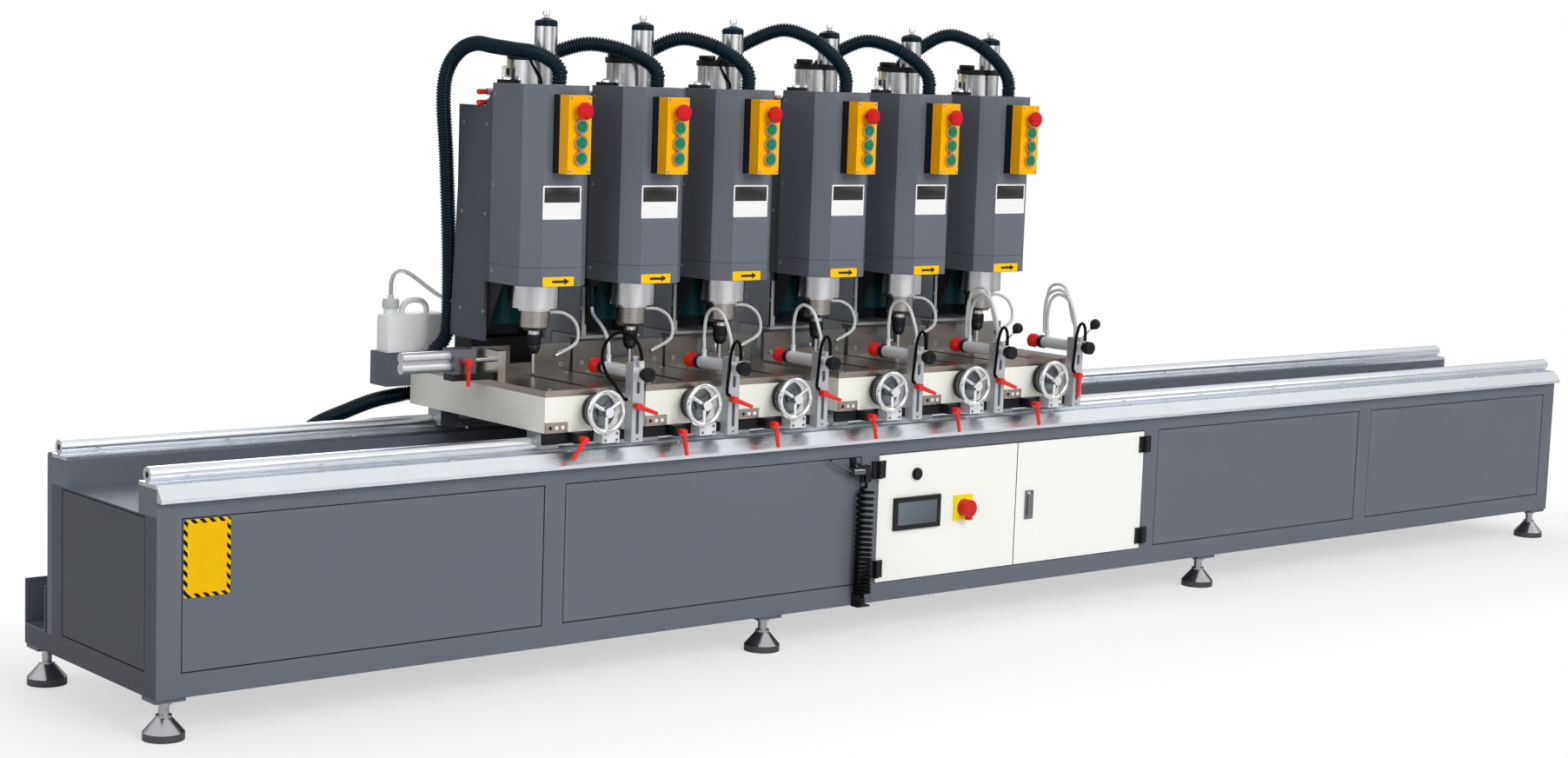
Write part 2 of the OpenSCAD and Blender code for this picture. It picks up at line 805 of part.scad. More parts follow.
module cable_tray() {
    low = ledge_top + seam;
    front = back_y - tray_d;
    guard_front = bed_d + seam;
    guard_top = beam_top + guard_rise;
    color(BED_GRAY) {
        difference() {
            span([0, front, low], [bed_l, back_y, low + tray_h]);
            span([-over, front + tray_t, low + tray_t],
                 [bed_l + over, back_y - tray_t, low + tray_h + over]);
        }
        difference() {
            union() {
                span([0, guard_front, low], [bed_l, guard_front + guard_d, guard_top - guard_round]);
                span([0, guard_front, low], [bed_l, guard_front + guard_d - guard_round, guard_top]);
                translate([0, guard_front + guard_d - guard_round, guard_top - guard_round])
                    rod_x(2 * guard_round, bed_l);
            }
            span([guard_t, guard_front - over, low + guard_t],
                 [bed_l - guard_t, guard_front + guard_d - guard_t, guard_top - guard_round]);
        }
    }
}

module control_gear() {
    left = cabinet_x + opening_rim + gear_margin;
    wide = cabinet_w - 2 * opening_rim - 2 * gear_margin;
    low = opening_low + opening_rim + gear_margin / 2;
    tall = opening_high - opening_low - 2 * opening_rim - gear_margin;
    back = cabinet_d - seam;
    face = back - gear_plate_t - seam;
    color(STEEL) span([left, back - gear_plate_t, low], [left + wide, back, low + tall]);
    color(BLACK) for (g = gear_shares)
        span([left + g[0] * wide, face - g[4] * cabinet_d, low + g[1] * tall],
             [left + (g[0] + g[2]) * wide, face, low + (g[1] + g[3]) * tall]);
}

// Folded door leaf between two X places, open at the back
module door_leaf(x0, x1) {
    difference() {
        span([x0, -door_proud, door_low], [x1, door_back, door_high]);
        span([x0 + door_rim, door_skin - door_proud, door_low + door_rim],
             [x1 - door_rim, door_back + over, door_high - door_rim]);
    }
}

// Upper half of a hinge, on the door; side is 1 where the door lies to the right of the pin
module door_knuckle(x, z, side) {
    base = -door_proud - seam;
    near = x + side * hinge_clear;
    far = x + side * hinge_leaf_w;
    difference() {
        union() {
            translate([x, hinge_y, z + slip]) cylinder(d = hinge_knuckle_d, h = hinge_h / 2 - slip);
            span([min(x, far), base - hinge_leaf_t, z + slip], [max(x, far), base, z + hinge_h / 2]);
            span([min(near, far), base - hinge_leaf_t, z - hinge_h / 2],
                 [max(near, far), base, z + hinge_h / 2]);
        }
        translate([x, hinge_y, z]) cylinder(d = hinge_pin_d + 2 * run, h = hinge_h / 2 + over);
        span([x - hinge_knuckle_d, base, z], [x + hinge_knuckle_d, over, z + hinge_h / 2 + over]);
    }
}

// Lower half of a hinge with its pin, on the frame
module frame_knuckle(x, z, side) {
    face = -door_proud - hinge_leaf_t;
    near = x - side * hinge_clear;
    far = x - side * hinge_leaf_w;
    difference() {
        union() {
            translate([x, hinge_y, z - hinge_h / 2]) cylinder(d = hinge_knuckle_d, h = hinge_h / 2);
            span([min(x, far), face, z - hinge_h / 2], [max(x, far), -seam, z]);
            span([min(near, far), face, z - hinge_h / 2], [max(near, far), -seam, z + hinge_h / 2]);
        }
        span([x, -door_proud - seam, z - hinge_h / 2 - over],
             [x + side * hinge_knuckle_d, over, z + over]);
    }
    translate([x, hinge_y, z - hinge_h / 2]) cylinder(d = hinge_pin_d, h = hinge_h);
}

module door_hinges() {
    color(BLACK) for (z = hinge_zs) {
        frame_knuckle(cabinet_x, z, 1);
        translate([cabinet_end, 0, 0]) mirror([1, 0, 0]) frame_knuckle(0, z, 1);
    }
}

module left_door() {
    face = -door_proud - seam;
    button_x = cabinet_x + button_at.x;
    button_z = door_low + button_at.y;
    switch_x = cabinet_x + switch_at.x;
    switch_z = door_low + switch_at.y;
    color(CABINET_WHITE) difference() {
        door_leaf(cabinet_x + door_gap, door_mid - door_gap / 2);
        translate([button_x, -door_proud - over, button_z]) rod_y(button_d, door_skin + 2 * over);
    }
    color(BLACK) {
        for (z = hinge_zs) door_knuckle(cabinet_x, z, 1);
        translate([button_x, face - button_bezel_t, button_z]) difference() {
            rod_y(button_bezel_d, button_bezel_t);
            translate([0, -over, 0]) rod_y(button_d + 2 * run, button_bezel_t + 2 * over);
        }
    }
    color(YELLOW) difference() {
        centred_x([switch_x, face - switch_plate_t, switch_z - switch_plate / 2],
                  [switch_plate, switch_plate_t, switch_plate]);
        translate([switch_x, face - switch_plate_t - over, switch_z])
            rod_y(switch_stem_d + 2 * run, switch_plate_t + 2 * over);
    }
}

module right_door() {
    x = door_mid + lock_at.x;
    z = door_low + lock_at.y;
    color(CABINET_WHITE) door_leaf(door_mid + door_gap / 2, cabinet_end - door_gap);
    color(BLACK) for (z = hinge_zs) translate([cabinet_end, 0, 0]) mirror([1, 0, 0]) door_knuckle(0, z, 1);
    color(STEEL) difference() {
        centred_x([x, -door_proud - seam - lock_size.y, z - lock_size.z / 2], lock_size);
        centred_x([x, -door_proud - lock_size.y - over, z - lock_lever_size.z / 2 - slip],
            [lock_lever_size.x + 2 * slip, lock_size.y + 2 * over, lock_lever_size.z + slip + lock_swing]);
        lock_pin(2 * run);
    }
}

module touch_screen() {
    x = cabinet_x + screen_at.x;
    z = door_low + screen_at.y;
    front = -door_proud - seam - screen_t;
    color(BLACK) difference() {
        centred_x([x, front, z - screen_h / 2], [screen_w, screen_t, screen_h]);
        centred_x([x, front - over, z - screen_h / 2 + screen_rim],
                  [screen_w - 2 * screen_rim, glass_t + over, screen_h - 2 * screen_rim]);
    }
    color(BED_GRAY) centred_x([x, front + glass_t / 2, z - screen_h / 2 + screen_rim + seam],
        [screen_w - 2 * (screen_rim + seam), glass_t / 2 - seam, screen_h - 2 * (screen_rim + seam)]);
}

module main_switch() {
    back = -door_proud - seam - switch_plate_t;
    color(RED) translate([cabinet_x + switch_at.x, back - slip - switch_knob_t, door_low + switch_at.y]) {
        rod_y(switch_knob_d, switch_knob_t);
        rod_y(switch_stem_d, switch_knob_t + slip + switch_plate_t);
        centred_x([0, 0, -switch_knob_d / 2 - switch_tab.z / 2], switch_tab);
    }
}

// Hinge pin across the top of the lock's lever, with room all round
module lock_pin(room) {
    long = lock_lever_size.x + 2 * (slip + lock_pin_in) + room;
    translate([door_mid + lock_at.x - long / 2, lock_pin_y, lock_pin_z]) rod_x(lock_pin_d + room, long);
}

module door_lock() {
    x = door_mid + lock_at.x;
    low = door_low + lock_at.y - lock_lever_size.z / 2;
    color(STEEL) {
        centred_x([x, lock_pin_y + lock_barrel_d / 2 - lock_lever_size.y, low],
                  [lock_lever_size.x, lock_lever_size.y, lock_pin_z - low]);
        translate([x - lock_lever_size.x / 2, lock_pin_y, lock_pin_z])
            rod_x(lock_barrel_d, lock_lever_size.x);
        lock_pin(0);
    }
}

module door_button() {
    front = -door_proud - seam - button_bezel_t - button_travel;
    color(BLACK) translate([cabinet_x + button_at.x, front, door_low + button_at.y])
        rod_y(button_d - 2 * run, button_travel + button_bezel_t + door_skin / 2);
}

module air_gun() {
    eye_z = gun_z + gun_body_d / 2 + gun_eye_d / 2 - gun_eye_t / 2;
    hook_z = eye_z + gun_eye_bore / 2 - hook_d / 2 - seam;
    color(STEEL) {
        translate([gun_x - gun_body_l / 2, gun_y, gun_z]) rod_x(gun_body_d, gun_body_l);
        translate([gun_x - gun_body_l / 2, gun_y, gun_z]) rotate([0, gun_nozzle_tilt, 0])
            translate([-gun_nozzle_l, 0, 0]) rod_x(gun_nozzle_d, gun_nozzle_l + gun_body_d / 2);
        translate([gun_x, gun_y - gun_eye_t / 2, eye_z]) difference() {
            rod_y(gun_eye_d, gun_eye_t);
            translate([0, -over, 0]) rod_y(gun_eye_bore, gun_eye_t + 2 * over);
        }
    }
    color(BLACK) {
        translate([gun_x + gun_body_l / 2, gun_y, gun_z + gun_body_d / 2]) rotate([0, -gun_grip_tilt, 0])
            translate([seam, -gun_grip.y / 2, -gun_grip.z]) cube(gun_grip);
        translate([gun_x + gun_body_l / 2 - gun_trigger.x, gun_y - gun_trigger.y / 2,
            gun_z - gun_body_d / 2 - gun_trigger.z - seam])
            cube(gun_trigger);
        translate([gun_x, gun_y - gun_eye_t, hook_z]) rod_y(hook_d, -gun_y + gun_eye_t - hook_plate.y);
        centred_x([gun_x, -hook_plate.y - seam, hook_z - hook_plate.z / 2], hook_plate);
    }
}

// Curly hose: a helix whose pitch closes up towards the bottom
function curl_height(turn) = let (tall = curl_top - curl_bottom - 2 * curl_tube_d,
    pitch = tall / curl_count,
    spread = pitch * (curl_open_share - 1))
    curl_top - curl_tube_d - (pitch + spread) * turn + spread * turn * turn / curl_count;
function curl_radius(turn) = let (ease = min(1, turn / curl_lead, (curl_count - turn) / curl_lead))
    (curl_d - curl_tube_d) / 2 * ease * ease * (3 - 2 * ease);
curl_points = concat(
    [[curl_x, curl_y, curl_top]],
    [for (i = [0 : curl_count * curl_rings]) let (turn = i / curl_rings)
        [curl_x + curl_radius(turn) * cos(360 * turn), curl_y + curl_radius(turn) * sin(360 * turn),
            curl_height(turn)]],
    [[curl_x, curl_y, curl_bottom]]);
curl_self_gap = min([for (i = [0 : len(curl_points) - 1])
    for (j = [i + curl_rings - 2 : i + 2 * curl_rings])
    if (j < len(curl_points)) norm(curl_points[i] - curl_points[j])]) - curl_tube_d;
echo(curl_self_gap = curl_self_gap);

module air_hose() {
    color(CONDUIT_BLACK) solid_tube(curl_points, curl_tube_d, curl_sides, end_headings(curl_points));
}

// Fitting that takes the hose's lower end, on a plate bolted to the bed's lower edge; it belongs to the gun
module hose_fitting() {
    color(BLACK) {
        translate([curl_x, curl_y, curl_bottom - seam - fitting_h]) cylinder(d = fitting_d, h = fitting_h);
        span([curl_x - fitting_plate.x / 2, curl_y - fitting_d / 2,
            curl_bottom - seam - fitting_h - fitting_plate.y],
             [curl_x + fitting_plate.x / 2, -seam, curl_bottom - seam - fitting_h]);
        span([curl_x - fitting_plate.x / 2, -fitting_plate.y - seam,
            curl_bottom - seam - fitting_h - fitting_plate.y],
             [curl_x + fitting_plate.x / 2, -seam, curl_bottom - fitting_h + fitting_plate.z]);
    }
}

// Collar at the top of the hose, on the grip
module hose_collar() {
    color(STEEL) translate([curl_x, curl_y, curl_top + seam]) cylinder(d = fitting_d, h = fitting_h);
}

module coolant_tank() {
    y = table_d + seam;
    floor_z = rack_low + rack_t + seam;
    color(BED_GRAY) difference() {
        translate([rack_x, y, rack_low]) cube(rack_size);
        translate([rack_x + rack_t, y + rack_t, rack_low + rack_t])
            cube([rack_size.x - 2 * rack_t, rack_size.y - 2 * rack_t, rack_size.z]);
    }
    color(CASTING_WHITE) translate([rack_x + can_inset, y + can_inset, floor_z]) {
        cube([can_size.x, can_size.y, can_size.z - can_shoulder]);
        translate([can_shoulder / 2, can_shoulder / 2, 0])
            cube([can_size.x - can_shoulder, can_size.y - can_shoulder, can_size.z]);
        translate([can_cap_x, can_size.y / 2, 0]) cylinder(d = can_neck_d, h = can_size.z + can_neck_h);
        translate([can_grip_x, (can_size.y - can_grip.y) / 2, 0]) difference() {
            cube([can_grip.x, can_grip.y, can_size.z + can_grip.z]);
            translate([can_grip_d, -over, can_size.z])
                cube([can_grip.x - 2 * can_grip_d, can_grip.y + 2 * over, can_grip.z - can_grip_d]);
        }
        translate([can_cap_x, can_size.y / 2, can_size.z + can_neck_h + seam])
            cylinder(d = can_cap_d, h = can_cap_h);
    }
}

module conduits() {
    color(CONDUIT_BLACK) {
        translate([station_x(1), 0, 0]) ribbed_tube(lead_route);
        if (station_count > 1) for (n = [1 : station_count - 1]) ribbed_tube(loop_route(n));
        ribbed_tube(supply_route);
    }
}

// Bearing that rides on a guide bar, open below for the bar's waist
module bearing(x, y) {
    mouth = bar_d * bearing_mouth_share;
    difference() {
        union() {
            translate([x - bearing_l / 2, y, bar_z]) rod_x(bearing_d, bearing_l);
            span([x - bearing_l / 2, y - bearing_d / 2, bar_z],
                 [x + bearing_l / 2, y + bearing_d / 2, casting_z - seam]);
        }
        translate([x - bearing_l / 2 - over, y, bar_z]) rod_x(bar_d + 2 * run, bearing_l + 2 * over);
        span([x - bearing_l / 2 - over, y - mouth / 2, bar_z - bearing_d],
             [x + bearing_l / 2 + over, y + mouth / 2, bar_z]);
        span([x - bearing_l / 2 - over, y - bearing_d, bar_z - bearing_d],
             [x + bearing_l / 2 + over, y + bearing_d, bar_z - bar_d * bearing_low_share]);
    }
}

module casting() {
    half = table_w / 2;
    screw_bore = screw_d + 2 * run;
    color(CASTING_WHITE) difference() {
        union() {
            difference() {
                span([-half, 0, casting_z], [half, table_d, casting_top]);
                span([-half + casting_wall, casting_wall, casting_z - over],
                     [half - casting_wall, table_d - casting_wall, casting_top + over]);
            }
            translate([0, -boss_t, wheel_z]) rod_y(boss_d, boss_t + casting_wall);
        }
        translate([0, -boss_t - over, wheel_z]) rod_y(screw_bore, boss_t + casting_wall + 2 * over);
        translate([0, table_d - casting_wall - over, wheel_z]) rod_y(screw_bore, casting_wall + 2 * over);
    }
}

module table_tops() {
    half = table_w / 2;
    low = casting_top + seam;
    color(GROUND_STEEL) difference() {
        span([-half, 0, low], [half, top_d, table_z]);
        span([-slot_w / 2, slot_front, low - over], [slot_w / 2, spindle_y + slot_back, table_z + over]);
    }
    color(STEEL) difference() {
        span([-half, fence_y, low], [half, table_d, table_z]);
        span([-way_slot_w / 2, nut_y - cross_travel - nut_size.y / 2, low - over],
             [way_slot_w / 2, way_slot_end, table_z + over]);
    }
    color(GROUND_STEEL) difference() {
        span([-half, fence_y, table_z + seam], [half, fence_y + fence_t, table_z + fence_h]);
        span([-notch_w / 2, fence_y - over, table_z + notch_rise],
             [notch_w / 2, fence_y + fence_t + over, table_z + fence_h + over]);
    }
}

module clamp_unit(lever_turn) {
    top = post_low + clamp_post.z;
    front = clamp_post_y;
    color(STEEL) {
        difference() {
            centred_x([post_x, front, post_low], clamp_post);
            translate([post_x, front - over, clamp_z]) rod_y(clamp_d + 2 * seam, clamp_post.y + 2 * over);
            for (s = post_slots) translate([post_x, front - over, post_low + s[0]])
                slot_y(post_slot_w, s[1], clamp_post.y + 2 * over);
        }
        centred_x([post_x, front + clamp_post.y + seam, casting_z + seam],
                  [post_foot.x, -front - clamp_post.y - 2 * seam, post_foot.z]);
        translate([post_x, -clamp_back, clamp_z]) difference() {
            rod_y(clamp_d, clamp_l);
            translate([0, clamp_l - clamp_rod_in - over, 0])
                rod_y(clamp_rod_d + 2 * run, clamp_rod_in + 2 * over);
        }
    }
    color(BLACK) {
        translate([post_x, -clamp_back - clamp_knob_l, clamp_z]) rod_y(clamp_knob_d, clamp_knob_l - seam);
        translate([post_x, clamp_l - clamp_back - clamp_collar_t, clamp_z]) difference() {
            rod_y(clamp_collar_d, clamp_collar_t);
            translate([0, -over, 0]) rod_y(clamp_d + 2 * seam, clamp_collar_t + 2 * over);
        }
        small_tube(black_route);
    }
    color(CASTING_WHITE) small_tube(white_route);
    color(STEEL) for (p = [white_route[0], black_route[0]])
        translate([p.x, p.y, clamp_z + clamp_d / 2 - over])
            cylinder(d = plug_d, h = p.z - seam - clamp_z - clamp_d / 2 + over);
    color(STEEL) {
        translate([post_x, white_route[len(white_route) - 1].y, top - over])
            cylinder(d = plug_d, h = white_route[len(white_route) - 1].z - seam - top + over);
        translate(black_route[len(black_route) - 1] + [seam, 0, 0])
            rod_x(plug_d, post_x - clamp_post.x / 2 - black_route[len(black_route) - 1].x + over);
    }
    color(RED) translate([post_x - lever_hub_d / 2, front - lever_hub_h - seam, table_z - clamp_lever_drop])
        clamp_lever(lever_turn);
}

// Pneumatic end stop that reaches out to the left of the first table
module stop_unit() {
    z0 = table_z + stop_block_low;
    block_x = stop_cyl_x + stop_cyl_l + seam;
    plate_x = block_x + stop_block.x + stop_rod_l;
    mid_z = z0 + stop_block.z / 2;
    color(STEEL) {
        for (rise = [-1, 1]) translate([stop_cyl_x, stop_y, mid_z + rise * (stop_cyl_d / 2 - over)])
            rod_x(stop_cyl_d, stop_cyl_l);
        translate([block_x + stop_block.x - over, stop_y, mid_z]) rod_x(stop_rod_d, stop_rod_l + over);
        translate([plate_x + seam, stop_y - stop_plate.y / 2, table_z + seam]) cube(stop_plate);
    }
    color(BLACK) {
        translate([block_x, stop_y - stop_block.y / 2, z0]) difference() {
            cube(stop_block);
            translate([stop_block.x - over - slip, stop_block.y / 2, stop_block.z / 2])
                rod_x(stop_rod_d + 2 * seam, 2 * over + slip);
        }
        span([block_x, stop_y - stop_arm.y / 2, table_z + seam],
             [block_x + stop_arm.x, stop_y + stop_arm.y / 2, z0 - seam]);
    }
    color(RED) translate([block_x + stop_block.x / 2, stop_y - stop_block.y / 2 - lever_hub_h - seam,
        mid_z]) clamp_lever(0);
}

module table(n) {
    bearing_x = table_w / 2 - bearing_inset;
    casting();
    table_tops();
    color(STEEL) {
        for (x = [-bearing_x, bearing_x]) for (y = [bar_y, rear_bar_y]) bearing(x, y);
        translate([index_block_x, block_y, casting_z - seam - index_block.z]) cube(index_block);
    }
    color(BLACK) translate([lock_block_x, block_y, casting_z - seam - lock_block.z]) cube(lock_block);
    color(RED) translate([lock_block_x + lock_block.x / 2, block_y - lever_hub_h - seam,
        casting_z - lock_block.z / 2])
        clamp_lever(n == 1 ? 35 : -12);
    color(GROUND_STEEL) translate([-table_w / 2, -pointer_size.y - seam, casting_z]) cube(pointer_size);
    clamp_unit(n == station_count ? 0 : -70);
    if (n == 1) {
        stop_unit();
        color(BLACK) translate([lead_route[0].x, lead_route[0].y, table_z + seam])
            cylinder(d = gland_d, h = lead_route[0].z - table_z - 2 * seam);
        color(BLACK) translate([supply_route[0].x - first_x, table_d + seam, supply_route[0].z])
            rod_y(gland_d, supply_route[0].y - table_d - 2 * seam);
    }
}

// Outline of the cover in X and Y, drawn in by an inset
module cover_outline(inset) {
    half = cover_w / 2 - inset;
    front = spindle_y - cover_front + inset;
    back = spindle_y + cover_back;
    cut = cover_chamfer - inset * tan(22.5);
    polygon([[-half, back], [-half, front + cut], [-half + cut, front], [half - cut, front],
             [half, front + cut], [half, back]]);
}

module cover() {
    entry = loop_far[len(loop_far) - 1];
    color(BED_GRAY) difference() {
        translate([0, 0, cover_z]) linear_extrude(height = cover_h) cover_outline(0);
        translate([0, 0, cover_z - over]) linear_extrude(height = cover_h - cover_t + over)
            cover_outline(cover_t);
        span([-cover_w / 2 + cover_t, spindle_y + cover_back - over, cover_z - over],
             [cover_w / 2 - cover_t, spindle_y + cover_back + over, cover_top - cover_t]);
        translate([feed_at.x, spindle_y + feed_at.y, cover_top - cover_t - over])
            cylinder(d = feed_cyl_d + 2 * slip, h = cover_t + 2 * over);
        translate([entry.x, entry.y, cover_top - cover_t - over])
            cylinder(d = conduit_d * conduit_bore_share, h = cover_t + 2 * over);
    }
}

module column() {
    top = cover_top - column_drop;
    low_front = column_front + column_step;
    gusset_y = column_front - gusset_reach;
    color(BED_GRAY) difference() {
        translate([-column_w / 2, 0, 0]) along_x(column_w) polygon([
            [column_front, cover_z], [column_front, cover_top - column_t], [column_front + column_slope, top],
            [column_back, top], [column_back, column_low], [low_front, column_low], [low_front, cover_z]]);
        span([-column_w / 2 + column_t, column_front - over, column_low - over],
             [column_w / 2 - column_t, column_back - column_t, top - column_t]);
        translate([feed_at.x, spindle_y + feed_at.y, top - column_t - over])
            cylinder(d = feed_cyl_d + 2 * slip, h = column_drop + column_t + 2 * over);
    }
    color(BLACK) for (x = [-column_w / 2 + column_t + seam, column_w / 2 - column_t - gusset_t - seam])
        translate([x, 0, 0]) along_x(gusset_t) polygon([
            [gusset_y, cover_z - seam], [low_front + column_step, cover_z - seam],
            [low_front + column_step, cover_z - gusset_low], [low_front, cover_z - gusset_low]]);
}

// What the column carries: pedestal with the lead screw's nut, bridges, motor and belt drive
module drive() {
    inner = column_w / 2 - column_t - seam;
    nut_low = wheel_z - nut_size.x / 2;
    shaft_top = pulley_z + pulley_h;
    belt_d = motor_pulley_d + 2 * belt_t;
    color(STEEL) {
        centred_x([0, pedestal_y, table_z + run], [pedestal.x, pedestal.y, column_rise - run - seam]);
        difference() {
            centred_x([0, nut_y, nut_low], [nut_size.x, nut_size.y, table_z + run - nut_low]);
            translate([0, nut_y - over, wheel_z]) rod_y(screw_d + 2 * run, nut_size.y + 2 * over);
        }
        for (z = bridge_zs) difference() {
            span([-inner, spindle_y - nose_d / 2, z], [inner, column_back - column_t - seam, z + bridge_t]);
            translate([0, spindle_y, z - over]) cylinder(d = nose_d + 2 * seam, h = bridge_t + 2 * over);
            translate([0, motor_y, z - over]) cylinder(d = motor_d + 2 * seam, h = bridge_t + 2 * over);
        }
        translate([0, motor_y, motor_low + motor_h - over])
            cylinder(d = spindle_d, h = shaft_top - motor_low - motor_h);
    }
    color(CONDUIT_BLACK) translate([0, motor_y, motor_low]) cylinder(d = motor_d, h = motor_h);
    color(BLACK) translate([0, 0, pulley_z]) difference() {
        union() {
            translate([0, motor_y, 0]) cylinder(d = belt_d, h = pulley_h);
            translate([0, spindle_y, 0]) cylinder(d = belt_d, h = pulley_h);
            span([-belt_d / 2, spindle_y, 0], [belt_d / 2, motor_y, pulley_h]);
        }
        translate([0, 0, -over]) {
            translate([0, motor_y, 0]) cylinder(d = motor_pulley_d, h = pulley_h + 2 * over);
            translate([0, spindle_y, 0]) cylinder(d = motor_pulley_d, h = pulley_h + 2 * over);
            span([-motor_pulley_d / 2, spindle_y, 0], [motor_pulley_d / 2, motor_y, pulley_h + 2 * over]);
        }
    }
    color(STEEL) translate([0, motor_y, pulley_z]) difference() {
        cylinder(d = motor_pulley_d - 2 * seam, h = pulley_h);
        translate([0, 0, -over]) cylinder(d = spindle_d + 2 * seam, h = pulley_h + 2 * over);
    }
}

// Spindle housing with its nose, which guides the quill
module spindle_housing() {
    housing_top = pulley_z - over;
    feed_low = pulley_z + pulley_h + 2 * seam;
    color(STEEL) translate([0, spindle_y, 0]) {
        difference() {
            union() {
                translate([0, 0, nose_z]) cylinder(d = nose_d, h = housing_top - nose_z);
                translate([0, 0, nose_z - nose_ring_h]) cylinder(d = nose_ring_d, h = nose_ring_h + over);
            }
            translate([0, 0, nose_z - nose_ring_h - over])
                cylinder(d = quill_d + 2 * run, h = quill_inside + nose_ring_h + 2 * over);
        }
        translate([0, 0, housing_top + seam]) cylinder(d = motor_pulley_d - 2 * seam, h = pulley_h + over);
        translate([feed_at.x, feed_at.y, feed_low])
            cylinder(d = feed_cyl_d, h = cover_top + feed_cyl_h - feed_low);
    }
}

module head_top() {
    cap_z = cover_top + feed_cyl_h + seam;
    check_z = cap_z + top_cap_h + seam;
    nipple_z = check_z + check_cyl_h + check_cap_h;
    color(BLACK) translate([0, spindle_y, cap_z]) {
        translate([feed_at.x, feed_at.y, 0]) cylinder(d = top_cap_d, h = top_cap_h);
        translate([check_at.x, check_at.y, 0]) cylinder(d = check_lobe_d, h = top_cap_h);
    }
    translate([check_at.x, spindle_y + check_at.y, 0]) {
        color(STEEL) translate([0, 0, check_z]) cylinder(d = check_cyl_d, h = check_cyl_h - seam);
        color(BLACK) translate([0, 0, check_z + check_cyl_h])
            cylinder(d1 = check_cyl_d, d2 = check_cap_top_d, h = check_cap_h - seam);
        color(STEEL) translate([0, 0, nipple_z]) cylinder(d = nipple_d, h = nipple_h);
    }
    color(BLACK) centred_x([dome_at.x, spindle_y + dome_at.y, cover_top + seam], dome_base);
    color(STEEL) translate([dome_at.x, spindle_y + dome_at.y + dome_base.y / 2,
        cover_top + dome_base.z + 2 * seam])
        intersection() {
            sphere(d = dome_d);
            cylinder(d = dome_d, h = dome_d);
        }
}

// Hand valve with two levers on top of the column
module valves() {
    low = cover_top - column_drop + seam;
    y = column_front + valve_y;
    left = valve_x - valve_size.x / 2 - seam;
    color(STEEL) centred_x([valve_x, y, low], valve_size);
    color(RED) for (z = valve_lever_zs)
        translate([left - valve_lever.x, y + (valve_size.y - valve_lever.y) / 2, low + z])
            cube(valve_lever);
}

module button_box() {
    back_y = spindle_y - cover_front - seam;
    split_y = back_y - box_d * box_back_share;
    front_y = back_y - box_d;
    top = cover_top - box_drop;
    color(BLACK) centred_x([0, split_y + seam, top - box_h], [box_w, box_d * box_back_share - seam, box_h]);
    color(YELLOW) difference() {
        centred_x([0, front_y, top - box_h], [box_w, split_y - front_y, box_h]);
        translate([0, front_y - over, top - button_drops[0]])
            rod_y(stop_stem_d + 2 * run, stop_stem + stop_travel + over + slip);
    }
    for (i = [1 : len(button_drops) - 1]) translate([0, front_y - seam, top - button_drops[i]]) {
        color(STEEL) translate([0, -bezel_h, 0]) difference() {
            rod_y(bezel_d, bezel_h);
            translate([0, -over, 0]) rod_y(start_d + 2 * seam, bezel_h + 2 * over);
        }
        color(GREEN) translate([0, -bezel_h - start_h / 2, 0]) rod_y(start_d, bezel_h + start_h / 2);
    }
}

module coolant_nozzle() {
    last = coolant_route[len(coolant_route) - 1];
    before = coolant_route[len(coolant_route) - 2];
    color(CASTING_WHITE) small_tube(coolant_route);
    color(STEEL) translate([coolant_route[0].x - plug_h, coolant_route[0].y, coolant_route[0].z])
        rod_x(plug_d, plug_h - seam);
    color(STEEL) translate(last + unit(last - before) * seam)
        rotate([0, acos(unit(last - before).z), atan2((last - before).y, (last - before).x)])
            cylinder(d = nozzle_d, h = nozzle_l);
}

module head(n) {
    cover();
    column();
    drive();
    spindle_housing();
    head_top();
    valves();
    button_box();
    coolant_nozzle();
    if (n < station_count) color(BLACK)
        translate([loop_near[0].x, loop_near[0].y, cover_top - column_drop + seam])
            cylinder(d = gland_d, h = loop_near[0].z - cover_top + column_drop - 2 * seam);
}

module quill() {
    r = quill_d / 2;
    bore = spindle_d / 2 + run;
    top = nose_z + quill_inside;
    color(STEEL) translate([0, spindle_y, 0]) rotate_extrude() polygon([
        [bore, quill_z], [r - quill_round, quill_z], [r, quill_z + quill_round], [r, top], [bore, top]]);
}

module chuck() {
    r = chuck_d / 2;
    shaft = spindle_d / 2;
    neck_top = quill_z - run;
    color(BLACK) translate([0, spindle_y, 0]) rotate_extrude() polygon([
        [0, chuck_z - bit_l], [bit_d / 2, chuck_z - bit_l + bit_d / 2], [bit_d / 2, chuck_z],
        [r - chuck_taper / 2, chuck_z], [r, chuck_z + chuck_taper], [r, chuck_top], [neck_d / 2, chuck_top],
        [neck_d / 2, neck_top], [shaft, neck_top], [shaft, quill_z + spindle_inside],
        [0, quill_z + spindle_inside]]);
}

module handwheel() {
    rim_r = (wheel_d - wheel_rim_d) / 2;
    dial_y = -boss_t - dial_gap - dial_h;
    color(STEEL) translate([0, wheel_y, wheel_z]) {
        rotate([90, 0, 0]) rotate_extrude() translate([rim_r, 0]) circle(d = wheel_rim_d);
        translate([0, -hub_h / 2, 0]) rod_y(hub_d, hub_h);
        for (i = [0 : spoke_count - 1]) rotate([0, 180 + i * 360 / spoke_count, 0])
            cylinder(d = spoke_d, h = rim_r);
    }
    color(STEEL) translate([0, wheel_y, wheel_z]) rod_y(screw_d, table_d - wheel_y);
    color(BLACK) translate([0, dial_y, wheel_z]) difference() {
        rod_y(dial_d, dial_h);
        translate([0, -over, 0]) rod_y(screw_d + 2 * seam, dial_h + 2 * over);
    }
}

